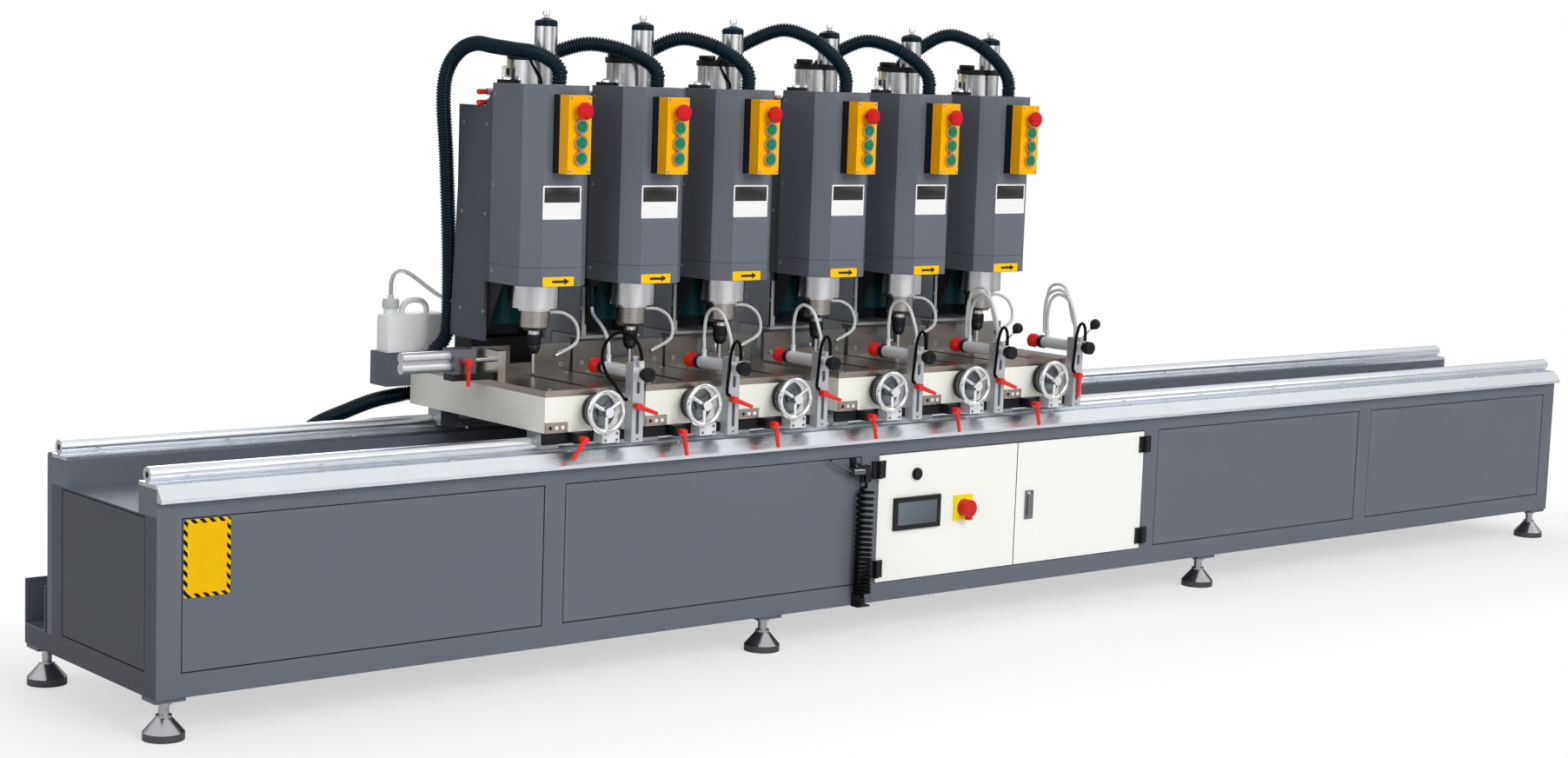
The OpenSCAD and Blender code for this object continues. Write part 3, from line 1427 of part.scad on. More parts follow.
module clamp_rod() {
    end = clamp_l - clamp_back;
    pad_y = end + clamp_rod_out;
    tail = end - clamp_rod_in + over;
    color(STEEL) translate([post_x, tail, clamp_z]) rod_y(clamp_rod_d, pad_y - tail - seam);
    color(RED) translate([post_x, pad_y, clamp_z]) {
        rotate([-90, 0, 0]) cylinder(d1 = clamp_pad_neck_d, d2 = clamp_pad_d, h = clamp_pad_neck);
        translate([0, clamp_pad_neck, 0]) rod_y(clamp_pad_d, clamp_pad_t);
    }
}

module stop_button() {
    front_y = spindle_y - cover_front - seam - box_d;
    z = cover_top - box_drop - button_drops[0];
    neck_y = front_y - stop_travel - slip - stop_neck;
    color(RED) translate([0, neck_y, z]) {
        rod_y(stop_neck_d, stop_neck);
        rod_y(stop_stem_d, stop_neck + stop_travel + slip + stop_stem - over);
        translate([0, -stop_head_h, 0]) rotate([-90, 0, 0]) rotate_extrude() polygon([
            [0, 0], [stop_d / 2 - stop_head_h / 2, 0], [stop_d / 2, stop_head_h / 2],
            [stop_d / 2, stop_head_h], [0, stop_head_h]]);
    }
}

in_frame() bed_frame();
in_frame() bed_panels();
in_frame() front_rail();
in_frame() rear_rail();
in_frame() levelling_feet();
in_frame() cable_tray();
in_frame() control_gear();
in_frame() left_door();
in_frame() right_door();
in_frame() door_hinges();
in_frame() touch_screen();
in_frame() main_switch();
in_frame() door_lock();
in_frame() door_button();
in_frame() {
    air_gun();
    hose_fitting();
    hose_collar();
}
in_frame() air_hose();
at_station(1) coolant_tank();
in_frame() conduits();
for (n = [1 : station_count]) {
    at_station(n) table(n);
    at_station(n) head(n);
    at_station(n) quill();
    at_station(n) chuck();
    at_station(n) handwheel();
    at_station(n) clamp_rod();
    at_station(n) stop_button();
}
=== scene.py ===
# Profile drilling machine: finishes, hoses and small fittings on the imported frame.
# Places are in millimetres: X from the bed's left end, or from a station's spindle axis, Y from the bed's
# front face and Z from the floor.
from math import cos, pi, radians, sin

import bmesh
import bpy
from mathutils import Matrix, Vector


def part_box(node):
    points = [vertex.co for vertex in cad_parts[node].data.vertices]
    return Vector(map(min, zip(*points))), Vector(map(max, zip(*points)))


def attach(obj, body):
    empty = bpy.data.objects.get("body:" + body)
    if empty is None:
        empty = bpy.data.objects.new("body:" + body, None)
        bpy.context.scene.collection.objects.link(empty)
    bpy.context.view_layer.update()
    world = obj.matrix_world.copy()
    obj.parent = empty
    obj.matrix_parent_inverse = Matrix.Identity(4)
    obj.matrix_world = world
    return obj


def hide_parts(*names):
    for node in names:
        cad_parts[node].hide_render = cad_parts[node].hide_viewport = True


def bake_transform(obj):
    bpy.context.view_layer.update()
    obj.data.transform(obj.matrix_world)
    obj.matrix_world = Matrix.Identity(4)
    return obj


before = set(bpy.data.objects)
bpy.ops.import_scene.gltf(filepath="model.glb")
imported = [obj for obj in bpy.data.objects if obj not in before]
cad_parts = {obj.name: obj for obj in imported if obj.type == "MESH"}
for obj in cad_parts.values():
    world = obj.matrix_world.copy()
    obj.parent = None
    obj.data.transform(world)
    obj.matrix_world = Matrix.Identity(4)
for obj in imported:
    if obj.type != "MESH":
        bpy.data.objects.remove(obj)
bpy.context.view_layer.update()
for spare in ("Cube", "Light", "Camera"):
    if spare in bpy.data.objects:
        bpy.data.objects.remove(bpy.data.objects[spare])

MM = 0.001
STATIONS = range(1, 7)
# Edges past CREASE are rounded, and faces that meet between SHALLOW and CREASE are smooth
CREASE, SHALLOW = radians(28), radians(0.5)
FORWARD, UP, LEFT, RIGHT = (0, -1, 0), (0, 0, 1), (-1, 0, 0), (1, 0, 0)

bed_low, bed_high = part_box("bed_frame")
BED = Vector((bed_low[0], bed_low[1], 0))
BED_LENGTH = (bed_high[0] - bed_low[0]) / MM


def spindle(n):
    """Origin of a station: its spindle axis, at the bed's front face, on the floor."""
    low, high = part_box(f"chuck_{n}")
    return Vector(((low[0] + high[0]) / 2, BED.y, 0))


def metres(origin, point):
    return origin + Vector(point) * MM


# Camera: the photograph's own place, turn and focal length in its pixels
PHOTO_WIDTH = 1804
FOCAL_PIXELS = 3025.2
CAMERA_PLACE = (-2412, -4849, 1438)
CAMERA_YAW, CAMERA_PITCH, CAMERA_ROLL = radians(39.94), radians(6.88), radians(2.03)


def set_camera():
    lens = bpy.data.cameras.new("camera")
    lens.sensor_fit, lens.sensor_width = "HORIZONTAL", 36
    lens.lens = lens.sensor_width * FOCAL_PIXELS / PHOTO_WIDTH
    lens.clip_end = 100
    camera = bpy.data.objects.new("camera", lens)
    bpy.context.scene.collection.objects.link(camera)
    turn = (Matrix.Rotation(-CAMERA_YAW, 4, "Z") @ Matrix.Rotation(pi / 2 - CAMERA_PITCH, 4, "X")
            @ Matrix.Rotation(CAMERA_ROLL, 4, "Z"))
    camera.matrix_world = Matrix.Translation(metres(BED, CAMERA_PLACE)) @ turn
    bpy.context.scene.camera = camera


set_camera()


# Node graphs, for finishes and for geometry
class Flow:
    """A socket that takes part in sums and products; each of them adds a Math node."""

    def __init__(self, graph, socket):
        self.graph, self.socket = graph, socket

    def math(self, operation, first, second):
        return self.graph.node("ShaderNodeMath", {"operation": operation}, {0: first, 1: second})

    def __add__(self, other):
        return self.math("ADD", self, other)

    def __radd__(self, other):
        return self.math("ADD", other, self)

    def __sub__(self, other):
        return self.math("SUBTRACT", self, other)

    def __rsub__(self, other):
        return self.math("SUBTRACT", other, self)

    def __mul__(self, other):
        return self.math("MULTIPLY", self, other)

    def __rmul__(self, other):
        return self.math("MULTIPLY", other, self)

    def __truediv__(self, other):
        return self.math("DIVIDE", self, other)

    def __mod__(self, other):
        return self.math("FLOORED_MODULO", self, other)

    def __gt__(self, other):
        return self.math("GREATER_THAN", self, other)

    def __lt__(self, other):
        return self.math("LESS_THAN", self, other)

    def larger(self, other):
        return self.math("MAXIMUM", self, other)

    def cosine(self):
        return self.math("COSINE", self, 0)

    def size(self):
        return self.math("ABSOLUTE", self, 0)


class Graph:
    """A node tree that node() fills: type, settings first, then the values or links of the sockets."""

    def __init__(self, tree):
        self.tree = tree

    def node(self, kind, settings=None, sockets=None, output=0):
        made = self.tree.nodes.new(kind)
        for key, value in (settings or {}).items():
            setattr(made, key, value)
        for key, value in (sockets or {}).items():
            self.feed(made.inputs[key], value)
        return Flow(self, made.outputs[output])

    def feed(self, socket, value):
        if isinstance(value, Flow):
            self.tree.links.new(value.socket, socket)
        else:
            socket.default_value = value


def screen(red, green, blue):
    """Linear colour of a screen colour."""
    def linear(v):
        return v / 12.92 if v < 0.04045 else ((v + 0.055) / 1.055) ** 2.4
    return tuple(linear(v / 255) for v in (red, green, blue)) + (1.0,)


def times(colour, factor):
    return tuple(min(1.0, v * factor) for v in colour[:3]) + (1.0,)


class Finish(Graph):
    """A material on one Principled shader that reads Object coordinates."""

    def __init__(self, name):
        self.material = bpy.data.materials.new(name)
        self.material.use_nodes = True
        super().__init__(self.material.node_tree)
        self.shader = self.tree.nodes["Principled BSDF"]
        self.place = self.node("ShaderNodeTexCoord", output=3)

    def set(self, **sockets):
        for key, value in sockets.items():
            self.feed(self.shader.inputs[key.replace("_", " ")], value)

    def axis(self, index):
        parts = self.node("ShaderNodeSeparateXYZ", sockets={0: self.place})
        return Flow(self, parts.socket.node.outputs[index])

    def noise(self, scale, detail=2, stretch=(1, 1, 1)):
        place = self.node("ShaderNodeMapping", sockets={"Vector": self.place, "Scale": stretch})
        return self.node("ShaderNodeTexNoise",
                         sockets={"Vector": place, "Scale": scale, "Detail": detail, "Roughness": 0.55})

    def between(self, share, first, second):
        return self.node("ShaderNodeMix", {"data_type": "RGBA"}, {0: share, 6: first, 7: second}, output=2)

    def narrow(self, value, low, high):
        """Value spread so that low becomes 0 and high becomes 1."""
        return self.node("ShaderNodeMapRange", sockets={0: value, 1: low, 2: high})

    def spread(self, noise):
        """Noise, which crowds about a half, spread from 0 to 1."""
        return self.narrow(noise, 0.3, 0.7)

    def drifting(self, share, colour, drift):
        """A colour that goes from darker to paler."""
        return self.between(share, times(colour, 1 - drift), times(colour, 1 + drift))

    def relief(self, height, depth, strength=1.0):
        return self.node("ShaderNodeBump",
                         sockets={"Strength": strength, "Distance": depth, "Height": height})


SEAM_HALF = 0.9


def painted(name, colour, roughness=0.4, peel=0.00012, drift=0.10, dirt=0.0, seam=None, shine=0.25):
    """Sprayed paint: drift of tone, orange peel, dust in the grain and a dark joint at a seam's height."""
    f = Finish(name)
    slow, specks, skin = f.noise(3.1, 4), f.noise(140, 3), f.noise(420, 2)
    body = f.drifting(f.spread(slow), colour, drift)
    if dirt:
        body = f.between(f.narrow(specks, 0.62, 0.82) * dirt, body, times(colour, 0.55))
    if seam:
        joint = (f.axis(2) - seam * MM).size() < SEAM_HALF * MM
        body = f.between(joint * 0.7, body, times(colour, 0.3))
    f.set(Base_Color=body, Roughness=roughness + (specks - 0.5) * 0.22, Specular_IOR_Level=shine,
          Normal=f.relief(skin, peel))
    return f.material


def metal(name, colour, roughness=0.25, grain=(1, 60, 60), depth=0.00002, drift=0.08, bare=1.0):
    """Ground, drawn or turned metal: the grain runs along the axis with the small stretch."""
    f = Finish(name)
    lines, slow = f.noise(22, 5, grain), f.noise(7, 3)
    shade = f.spread(lines) * 0.55 + f.spread(slow) * 0.45
    f.set(Base_Color=f.drifting(shade, colour, drift), Metallic=bare,
          Roughness=roughness + (lines - 0.5) * roughness * 0.6 + (slow - 0.5) * 0.04,
          Normal=f.relief(lines, depth, 0.5))
    return f.material


def plastic(name, colour, roughness=0.35, grain=0.00006, drift=0.06, shine=0.5):
    """Moulded plastic or rubber."""
    f = Finish(name)
    skin, slow = f.noise(900, 2), f.noise(9, 3)
    f.set(Base_Color=f.drifting(f.spread(slow), colour, drift), Roughness=roughness + (slow - 0.5) * 0.18,
          Specular_IOR_Level=shine, Normal=f.relief(skin, grain))
    return f.material


def see_through(name, colour, roughness, clear, thickness_tone):
    """Milky or clear plastic."""
    f = Finish(name)
    slow = f.noise(14, 3)
    f.set(Base_Color=f.between(slow, colour, times(colour, thickness_tone)),
          Roughness=roughness + slow * 0.15, Transmission_Weight=clear, IOR=1.42,
          Normal=f.relief(f.noise(160, 2), 0.0002))
    return f.material


def bored_end(name, colour, centres, bore):
    """Sawn end of bars with a dark disc in each: painted shade for its bore."""
    f = Finish(name)
    bore_shade = 0
    for centre in centres:
        across, up = f.axis(1) - centre.y, f.axis(2) - centre.z
        bore_shade = (across * across + up * up < (bore / 2 * MM) ** 2) + bore_shade
    saw = f.noise(60, 4, (1, 8, 1))
    f.set(Base_Color=f.between(bore_shade, f.between(saw, colour, times(colour, 0.8)), screen(20, 20, 22)),
          Metallic=1 - bore_shade, Roughness=0.35 + saw * 0.2)
    return f.material


def striped_notice(name, origin, centre, half, border, pitch):
    """Yellow plate with a black and yellow striped border."""
    f = Finish(name)
    middle = metres(origin, centre)
    across, up = f.axis(0) - middle.x, f.axis(2) - middle.z
    edge = (across.size() - (half[0] - border) * MM).larger(up.size() - (half[1] - border) * MM) > 0
    stripe = ((across + up) / (pitch * MM) % 1.0) < 0.5
    tone = f.between(f.noise(40, 3), screen(232, 178, 2), screen(242, 190, 8))
    f.set(Base_Color=f.between(edge * stripe, tone, screen(22, 22, 22)),
          Roughness=0.3 + f.noise(300, 2) * 0.1, Specular_IOR_Level=0.08)
    return f.material


def display_with_painted_reflection(name, origin, low, high):
    """Dark display glass, with a painted reflection that makes it a little paler towards its top left."""
    f = Finish(name)
    corner, far = metres(origin, low), metres(origin, high)
    reflection_share = f.narrow(f.axis(2) - f.axis(0), corner.z - far.x, far.z - corner.x)
    f.set(Base_Color=f.between(reflection_share, screen(50, 59, 68), screen(92, 103, 114)),
          Roughness=0.12 + f.noise(60, 3) * 0.1, Coat_Weight=0.6)
    return f.material


COVER_SEAM = 946
BAR_PLACES, BAR_BORE = [(0, 46, 555.1), (0, 466, 555.1)], 14
BED_PAINT = painted("bed_gray", screen(98, 103, 113), 0.42, drift=0.05, dirt=0.10)
PANEL_PAINT = painted("panel_gray", screen(99, 104, 114), 0.40, drift=0.05, dirt=0.06)
# Painted shade: a near black for the gaps round the panels and between the doors
GAP_SHADE_PAINT = painted("gap_shade", screen(30, 32, 38), 0.6, drift=0.05, shine=0.1)
# Painted shade: a darker gray for the shade on the bed's left end
END_SHADE_PAINT = painted("end_gray", screen(66, 70, 79), 0.42, drift=0.05, dirt=0.08)
# Painted shade: the column's gray is darker than the cover's, for the shade on its left side
HEAD_SHADE_PAINT = painted("column_gray", screen(74, 78, 87), 0.38, drift=0.05)
COVER_PAINT = painted("cover_gray", screen(102, 107, 117), 0.36, drift=0.04, seam=COVER_SEAM)
# Painted light: a paler copy of the column's gray for the left walls of the later heads
SIDE_LIGHT_PAINT = painted("side_gray", screen(140, 145, 154), 0.45, drift=0.05)
PALE_PAINT = painted("pale_gray", screen(168, 173, 175), 0.45, drift=0.05, dirt=0.1)
CABINET_PAINT = painted("cabinet_white", screen(240, 241, 236), 0.36, drift=0.02)
CASTING_PAINT = painted("casting_cream", screen(238, 238, 230), 0.45, peel=0.0003, drift=0.03, dirt=0.08)
MOTOR_PAINT = painted("motor_teal", screen(10, 66, 74), 0.35, drift=0.15, shine=0.15)
RAIL_STEEL = metal("drawn_rail", screen(224, 227, 232), 0.27, (0.4, 70, 70), 0.000002, 0.04)
GROUND_STEEL = metal("ground_plate", screen(168, 157, 150), 0.30, (0.8, 45, 45), 0.00003, 0.10)
FENCE_STEEL = metal("fence_steel", screen(138, 136, 132), 0.30, (0.8, 45, 45), 0.00002)
SLIDE_STEEL = metal("scraped_slideway", screen(176, 178, 180), 0.32, (40, 1, 40))
TURNED_STEEL = metal("turned_steel", screen(216, 217, 219), 0.24, (1, 1, 60), 0.000003, 0.04)
TURNED_ALONG = metal("turned_rod", screen(214, 215, 218), 0.22, (1, 60, 1), 0.000003, 0.04)
CAST_ALLOY = metal("cast_alloy", screen(226, 229, 232), 0.40, (12, 12, 12), 0.00004, 0.06, 0.35)
DRAWN_ALLOY = metal("drawn_alloy", screen(216, 218, 221), 0.32, (1, 60, 60), 0.00001, 0.06, 0.7)
DIAL_STEEL = metal("dial_steel", screen(120, 125, 130), 0.30, (12, 12, 12), 0.00001)
POST_ALLOY = metal("milled_alloy", screen(188, 192, 197), 0.34, (40, 40, 1), 0.00001, 0.06, 0.5)
BEARING_ALLOY = metal("bearing_alloy", screen(158, 164, 167), 0.30, (12, 12, 12), 0.00002, 0.06, 0.7)
QUILL_STEEL = metal("quill_steel", screen(170, 165, 160), 0.26, (1, 1, 60), 0.000003)
STOP_STEEL = metal("stop_plate_steel", screen(206, 200, 194), 0.28, (40, 40, 1))
BEZEL_STEEL = metal("bezel_steel", screen(196, 198, 200), 0.22, (12, 12, 12), 0.00001)
CHROME = metal("polished_chrome", screen(226, 228, 230), 0.09, (8, 8, 8), 0.00001, 0.04)
FOOT_STEEL = metal("polished_foot", screen(178, 179, 182), 0.20, (2, 2, 60), 0.000003)
FOOT_RIM = metal("blackened_rim", screen(92, 94, 97), 0.30, (8, 8, 60))
DARK_STEEL = metal("blackened_steel", screen(58, 60, 63), 0.34, (20, 20, 60))
# Painted reflection: the gun's chrome is darkened for the dark surroundings that it reflects
GUN_REFLECTION_CHROME = metal("gun_chrome", screen(112, 116, 122), 0.18, (8, 8, 8), 0.00001, 0.04)
ZINC = metal("zinc_plate", screen(196, 198, 196), 0.36, (12, 12, 12), 0.00003, 0.12, 0.7)
LOCK_STEEL = metal("lock_steel", screen(128, 131, 135), 0.30, (1, 1, 40), 0.00001)
BLACK_PAINT = painted("black_enamel", screen(22, 23, 26), 0.40, drift=0.2, shine=0.2)
BLACK_PLASTIC = plastic("black_plastic", screen(22, 24, 27), 0.42, 0.0001, 0.2, shine=0.25)
RUBBER = plastic("black_rubber", screen(19, 21, 24), 0.6, 0.0002, 0.25, shine=0.2)
HOSE_BLACK = plastic("hose_black", screen(8, 9, 11), 0.36, 0.0001, 0.25, shine=0.06)
CONDUIT_BLACK = plastic("conduit_black", screen(1, 25, 36), 0.30, 0.00008, 0.25, shine=0.14)
YELLOW_PLASTIC = plastic("box_yellow", screen(250, 176, 2), 0.34, 0.0001, 0.03, shine=0.12)
LEMON_YELLOW = plastic("switch_yellow", screen(246, 224, 24), 0.30, 0.00002, 0.03, shine=0.12)
PLATE_YELLOW = plastic("plate_yellow", screen(255, 200, 4), 0.30, 0.00002, 0.03, shine=0.12)
RED_PLASTIC = plastic("lever_red", screen(226, 40, 36), 0.32, 0.00008, 0.06, shine=0.3)
STOP_RED = plastic("stop_red", screen(204, 18, 28), 0.28, 0.00003, 0.05, shine=0.25)
START_GREEN = plastic("start_green", screen(20, 120, 84), 0.28, 0.00003, 0.06, shine=0.3)
LABEL_WHITE = plastic("label_white", screen(238, 238, 238), 0.30, 0.00002, 0.02)
LABEL_BLACK = plastic("label_black", screen(24, 24, 26), 0.30, 0.00002, 0.05)
MARK_WHITE = plastic("engraved_white", screen(225, 225, 220), 0.5, 0.00002, 0.02)
TUBE_WHITE = see_through("milky_tube", screen(232, 235, 236), 0.25, 0.25, 0.9)
TUBE_CLEAR = see_through("clear_hose", screen(205, 208, 206), 0.12, 0.55, 0.85)
TANK_PLASTIC = see_through("milky_can", screen(248, 250, 251), 0.45, 0.04, 0.97)
BAR_END = bored_end("bar_end", screen(206, 208, 211), [metres(BED, p) for p in BAR_PLACES], BAR_BORE)
FITTING_YELLOW = plastic("fitting_cream", screen(226, 218, 160), 0.35, 0.00005, 0.08)


# Hoses. Routes from a station's spindle axis, the supply's from the bed's left end
LEAD_ROUTE = [
    (-112, 505, 705), (-112, 505, 712), (-112, 505, 720), (-90, 502, 742), (-79, 498, 790),
    (-86, 489, 960), (-106, 477, 1180), (-128, 460, 1320), (-128, 445, 1392), (-116, 410, 1438),
    (-102, 364, 1455), (-88, 314, 1450), (-68, 260, 1444), (-40, 212, 1438), (-14, 182, 1420),
    (0, 170, 1398), (0, 170, 1382), (0, 170, 1367)]
# A loop starts on one head and ends on the next; the fourth value is its share of the loop's own lift
LOOP_NEAR = [(62, 400, 1326, 0), (62, 400, 1340, 0), (62, 400, 1362, 0), (72, 390, 1400, 0.1),
             (102, 360, 1434, 0.5)]
LOOP_FAR = [(-122, 300, 1462, 1), (-70, 248, 1456, 0.9), (-30, 203, 1436, 0.55), (-6, 177, 1414, 0.2),
            (0, 170, 1396, 0), (0, 170, 1382, 0), (0, 170, 1367, 0)]
LOOP_LIFTS = [0, 21, 52, 34, 58]
SUPPLY_ROUTE = [
    (985, 578, 604), (985, 590, 604), (985, 600, 604), (974, 622, 602), (946, 629, 598), (880, 627, 589),
    (800, 622, 568), (709, 617, 538), (620, 608, 480), (540, 598, 390), (480, 590, 290), (430, 588, 215),
    (385, 588, 180), (345, 588, 172), (320, 588, 172), (300, 588, 172)]
WHITE_ROUTE = [(92, 74, 742), (92, 74, 747), (92, 74, 756), (90, 73, 790), (84, 57, 832), (80, 24, 850),
               (82, -10, 836), (88, -28, 792), (92, -31, 763), (92, -31, 756), (92, -31, 751)]
# Two more tubes beside the white one, which stand apart from it in their upper part
SECOND_ROUTE = [(x - 3, y + 9 * (y > 40), z + 12 * (z > 770)) for x, y, z in WHITE_ROUTE]
THIRD_ROUTE = [(x + 5 * (z > 770), y + 14 * (z > 770), z + 26 * (z > 800)) for x, y, z in WHITE_ROUTE]
BLACK_ROUTE = [(92, -54, 742), (92, -54, 747), (92, -54, 756), (88, -46, 784), (76, -22, 806), (60, 8, 804),
               (48, 30, 776), (45, 34, 742), (47, 18, 710), (51, -6, 690), (56, -20, 672), (61, -29, 660),
               (65, -31, 656), (68, -31, 656), (71, -31, 656)]
NARROW_ROUTE = [
    (92, -66, 730), (92, -66, 735), (92, -66, 744), (91, -65, 768), (85, -61, 781), (77, -57, 773),
    (71, -54, 745), (69, -53, 712), (66, -53, 684), (65, -52, 666), (67, -51, 657), (71, -50, 653),
    (75, -48, 652), (78, -46, 652)]
FAR_ROUTE = [(92, 74, 742), (92, 74, 747), (92, 74, 756), (94, 80, 775), (108, 112, 795), (140, 175, 806),
             (172, 238, 812), (188, 274, 820), (192, 285, 832), (192, 287, 842)]
COOLANT_ROUTE = [
    (53, 250, 831), (57, 250, 831), (62, 250, 831), (85, 248, 827), (109, 244, 812), (119, 238, 787),
    (111, 230, 761), (88, 224, 748), (75, 223, 743), (62, 222, 738)]
SENSOR_ROUTE = [(-21, 246, 1436), (-24, 245, 1440), (-32, 243, 1432), (-31, 240, 1416), (-18, 236, 1396),
                (-7, 235, 1380), (-5, 235, 1366)]
CAN_ROUTE = [
    (-171, 610, 838), (-171, 610, 856), (-170, 610, 880), (-160, 609, 898), (-140, 604, 903),
    (-118, 592, 890), (-98, 566, 868), (-86, 530, 850), (-81, 490, 842), (-80, 465, 840), (-80, 452, 840)]
CAN_HANDLE = [(-140, 610, 797), (-138, 610, 815), (-126, 610, 828), (-105, 610, 832), (-84, 610, 828),
              (-72, 610, 815), (-70, 610, 797)]
CONDUIT_D, CONDUIT_SIDES, RIB_PITCH, RIB_DEPTH, RIB_POINTS = 37, 22, 7, 0.2, 4
TUBE_D, TUBE_SIDES = 8, 14
# Shares of the points where a loop's middle run starts and ends, and where the far tube's second run starts
LOOP_FIRST, LOOP_SECOND, FAR_SECOND = 0.30, 0.70, 0.62
# Shares of a run's points between which it passes from one body to the next; nothing bends it there
LEAD_BEND, SUPPLY_BEND = (0.10, 0.60), (0.14, 0.80)
OUT_BEND, SPAN_BEND, IN_BEND = (0.30, 0.92), (0.10, 0.90), (0.08, 0.62)
NEAR_TUBE_BEND, FAR_TUBE_BEND = (0.25, 0.95), (0.05, 0.60)


def curve(route, steps=12):
    """Smooth line through the points of a route."""
    points = [Vector(p) for p in route]
    last = len(points) - 1
    line = []
    for i in range(last):
        a, b, c, d = points[max(i - 1, 0)], points[i], points[i + 1], points[min(i + 2, last)]
        for s in range(steps):
            t = s / steps
            line.append((2 * b + (c - a) * t + (2 * a - 5 * b + 4 * c - d) * t * t
                         + (3 * b - a - 3 * c + d) * t ** 3) / 2)
    return line + [points[last]]


def evenly(line, step):
    """Points along a line at equal distances close to a step."""
    lengths = [0.0]
    for a, b in zip(line, line[1:]):
        lengths.append(lengths[-1] + (b - a).length)
    count = max(2, round(lengths[-1] / step))
    points, i = [], 0
    for k in range(count + 1):
        want = lengths[-1] * k / count
        while i < len(line) - 2 and lengths[i + 1] < want:
            i += 1
        share = (want - lengths[i]) / (lengths[i + 1] - lengths[i])
        points.append(line[i].lerp(line[i + 1], share))
    return points


def geometry_tree(name, inputs):
    """Empty tree with a Geometry socket each way and named inputs; returns its graph and its input flows."""
    tree = bpy.data.node_groups.new(name, "GeometryNodeTree")
    tree.interface.new_socket("Geometry", in_out="INPUT", socket_type="NodeSocketGeometry")
    for label, kind in inputs:
        tree.interface.new_socket(label, in_out="INPUT", socket_type="NodeSocket" + kind)
    tree.interface.new_socket("Geometry", in_out="OUTPUT", socket_type="NodeSocketGeometry")
    graph = Graph(tree)
    entry = tree.nodes.new("NodeGroupInput")
    return graph, {socket.name: Flow(graph, socket) for socket in entry.outputs if socket.name}


def end_tree(graph, geometry):
    exit_node = graph.tree.nodes.new("NodeGroupOutput")
    graph.feed(exit_node.inputs[0], geometry)
    return graph.tree


def hose_tree():
    """Sweeps a round section along a curve; the section swells and shrinks once in each rib."""
    graph, given = geometry_tree("hose along a route", [
        ("Diameter", "Float"), ("Rib depth", "Float"), ("Rib pitch", "Float"), ("Sides", "Int"),
        ("Finish", "Material")])
    along = graph.node("GeometryNodeSplineParameter", output=1)
    wave = (along / given["Rib pitch"] * (2 * pi)).cosine() * 0.5 + 0.5
    section = graph.node("GeometryNodeCurvePrimitiveCircle", {"mode": "RADIUS"},
                         {"Resolution": given["Sides"], "Radius": given["Diameter"] / 2})
    swept = graph.node("GeometryNodeCurveToMesh", sockets={
        "Curve": given["Geometry"], "Profile Curve": section, "Scale": 1 - wave * given["Rib depth"],
        "Fill Caps": True})
    smooth = graph.node("GeometryNodeSetShadeSmooth", sockets={"Geometry": swept, "Shade Smooth": True})
    real = graph.node("GeometryNodeRealizeInstances", sockets={0: smooth})
    return end_tree(graph, graph.node("GeometryNodeSetMaterial",
                                      sockets={"Geometry": real, "Material": given["Finish"]}))


def screw_tree():
    """A socket-head screw on every point, turned to the point's facing."""
    graph, given = geometry_tree("socket screws", [
        ("Diameter", "Float"), ("Height", "Float"), ("Finish", "Material"), ("Socket finish", "Material")])
    head = graph.node("GeometryNodeMeshCylinder", sockets={
        "Vertices": 20, "Radius": given["Diameter"] / 2, "Depth": given["Height"]})
    socket = graph.node("GeometryNodeMeshCylinder", sockets={
        "Vertices": 6, "Radius": given["Diameter"] * 0.29, "Depth": given["Height"] * 1.04})
    marked = graph.node("GeometryNodeStoreNamedAttribute", {"data_type": "BOOLEAN", "domain": "FACE"},
                        {"Geometry": socket, "Name": "socket", "Value": True})
    both = graph.tree.nodes.new("GeometryNodeJoinGeometry")
    for part in (marked, head):
        graph.tree.links.new(part.socket, both.inputs[0])
    facing = graph.node("GeometryNodeInputNamedAttribute", {"data_type": "FLOAT_VECTOR"}, {"Name": "facing"})
    turn = graph.node("FunctionNodeAlignRotationToVector", {"axis": "Z"}, {"Vector": facing})
    points = graph.node("GeometryNodeMeshToPoints", sockets={"Mesh": given["Geometry"]})
    placed = graph.node("GeometryNodeInstanceOnPoints", sockets={
        "Points": points, "Instance": Flow(graph, both.outputs[0]), "Rotation": turn})
    real = graph.node("GeometryNodeRealizeInstances", sockets={0: placed})
    coated = graph.node("GeometryNodeSetMaterial", sockets={"Geometry": real, "Material": given["Finish"]})
    dark = graph.node("GeometryNodeInputNamedAttribute", {"data_type": "BOOLEAN"}, {"Name": "socket"})
    return end_tree(graph, graph.node("GeometryNodeSetMaterial", sockets={
        "Geometry": coated, "Selection": dark, "Material": given["Socket finish"]}))


def ring_tree():
    """Bars at equal turns round an axis: dial marks, knurls and fins."""
    graph, given = geometry_tree("bars round an axis", [
        ("Count", "Int"), ("Radius", "Float"), ("Bar", "Vector"), ("Centre", "Vector"), ("Turn", "Vector"),
        ("Finish", "Material")])
    ring = graph.node("GeometryNodeMeshCircle",
                      sockets={"Vertices": given["Count"], "Radius": given["Radius"]})
    points = graph.node("GeometryNodeMeshToPoints", sockets={"Mesh": ring})
    outward = graph.node("GeometryNodeInputPosition")
    turn = graph.node("FunctionNodeAlignRotationToVector", {"axis": "X"}, {"Vector": outward})
    bar = graph.node("GeometryNodeMeshCube", sockets={"Size": given["Bar"]})
    placed = graph.node("GeometryNodeInstanceOnPoints",
                        sockets={"Points": points, "Instance": bar, "Rotation": turn})
    real = graph.node("GeometryNodeRealizeInstances", sockets={0: placed})
    moved = graph.node("GeometryNodeTransform", sockets={
        "Geometry": real, "Translation": given["Centre"], "Rotation": given["Turn"]})
    return end_tree(graph, graph.node("GeometryNodeSetMaterial",
                                      sockets={"Geometry": moved, "Material": given["Finish"]}))


HOSE_TREE, SCREW_TREE, RING_TREE = hose_tree(), screw_tree(), ring_tree()


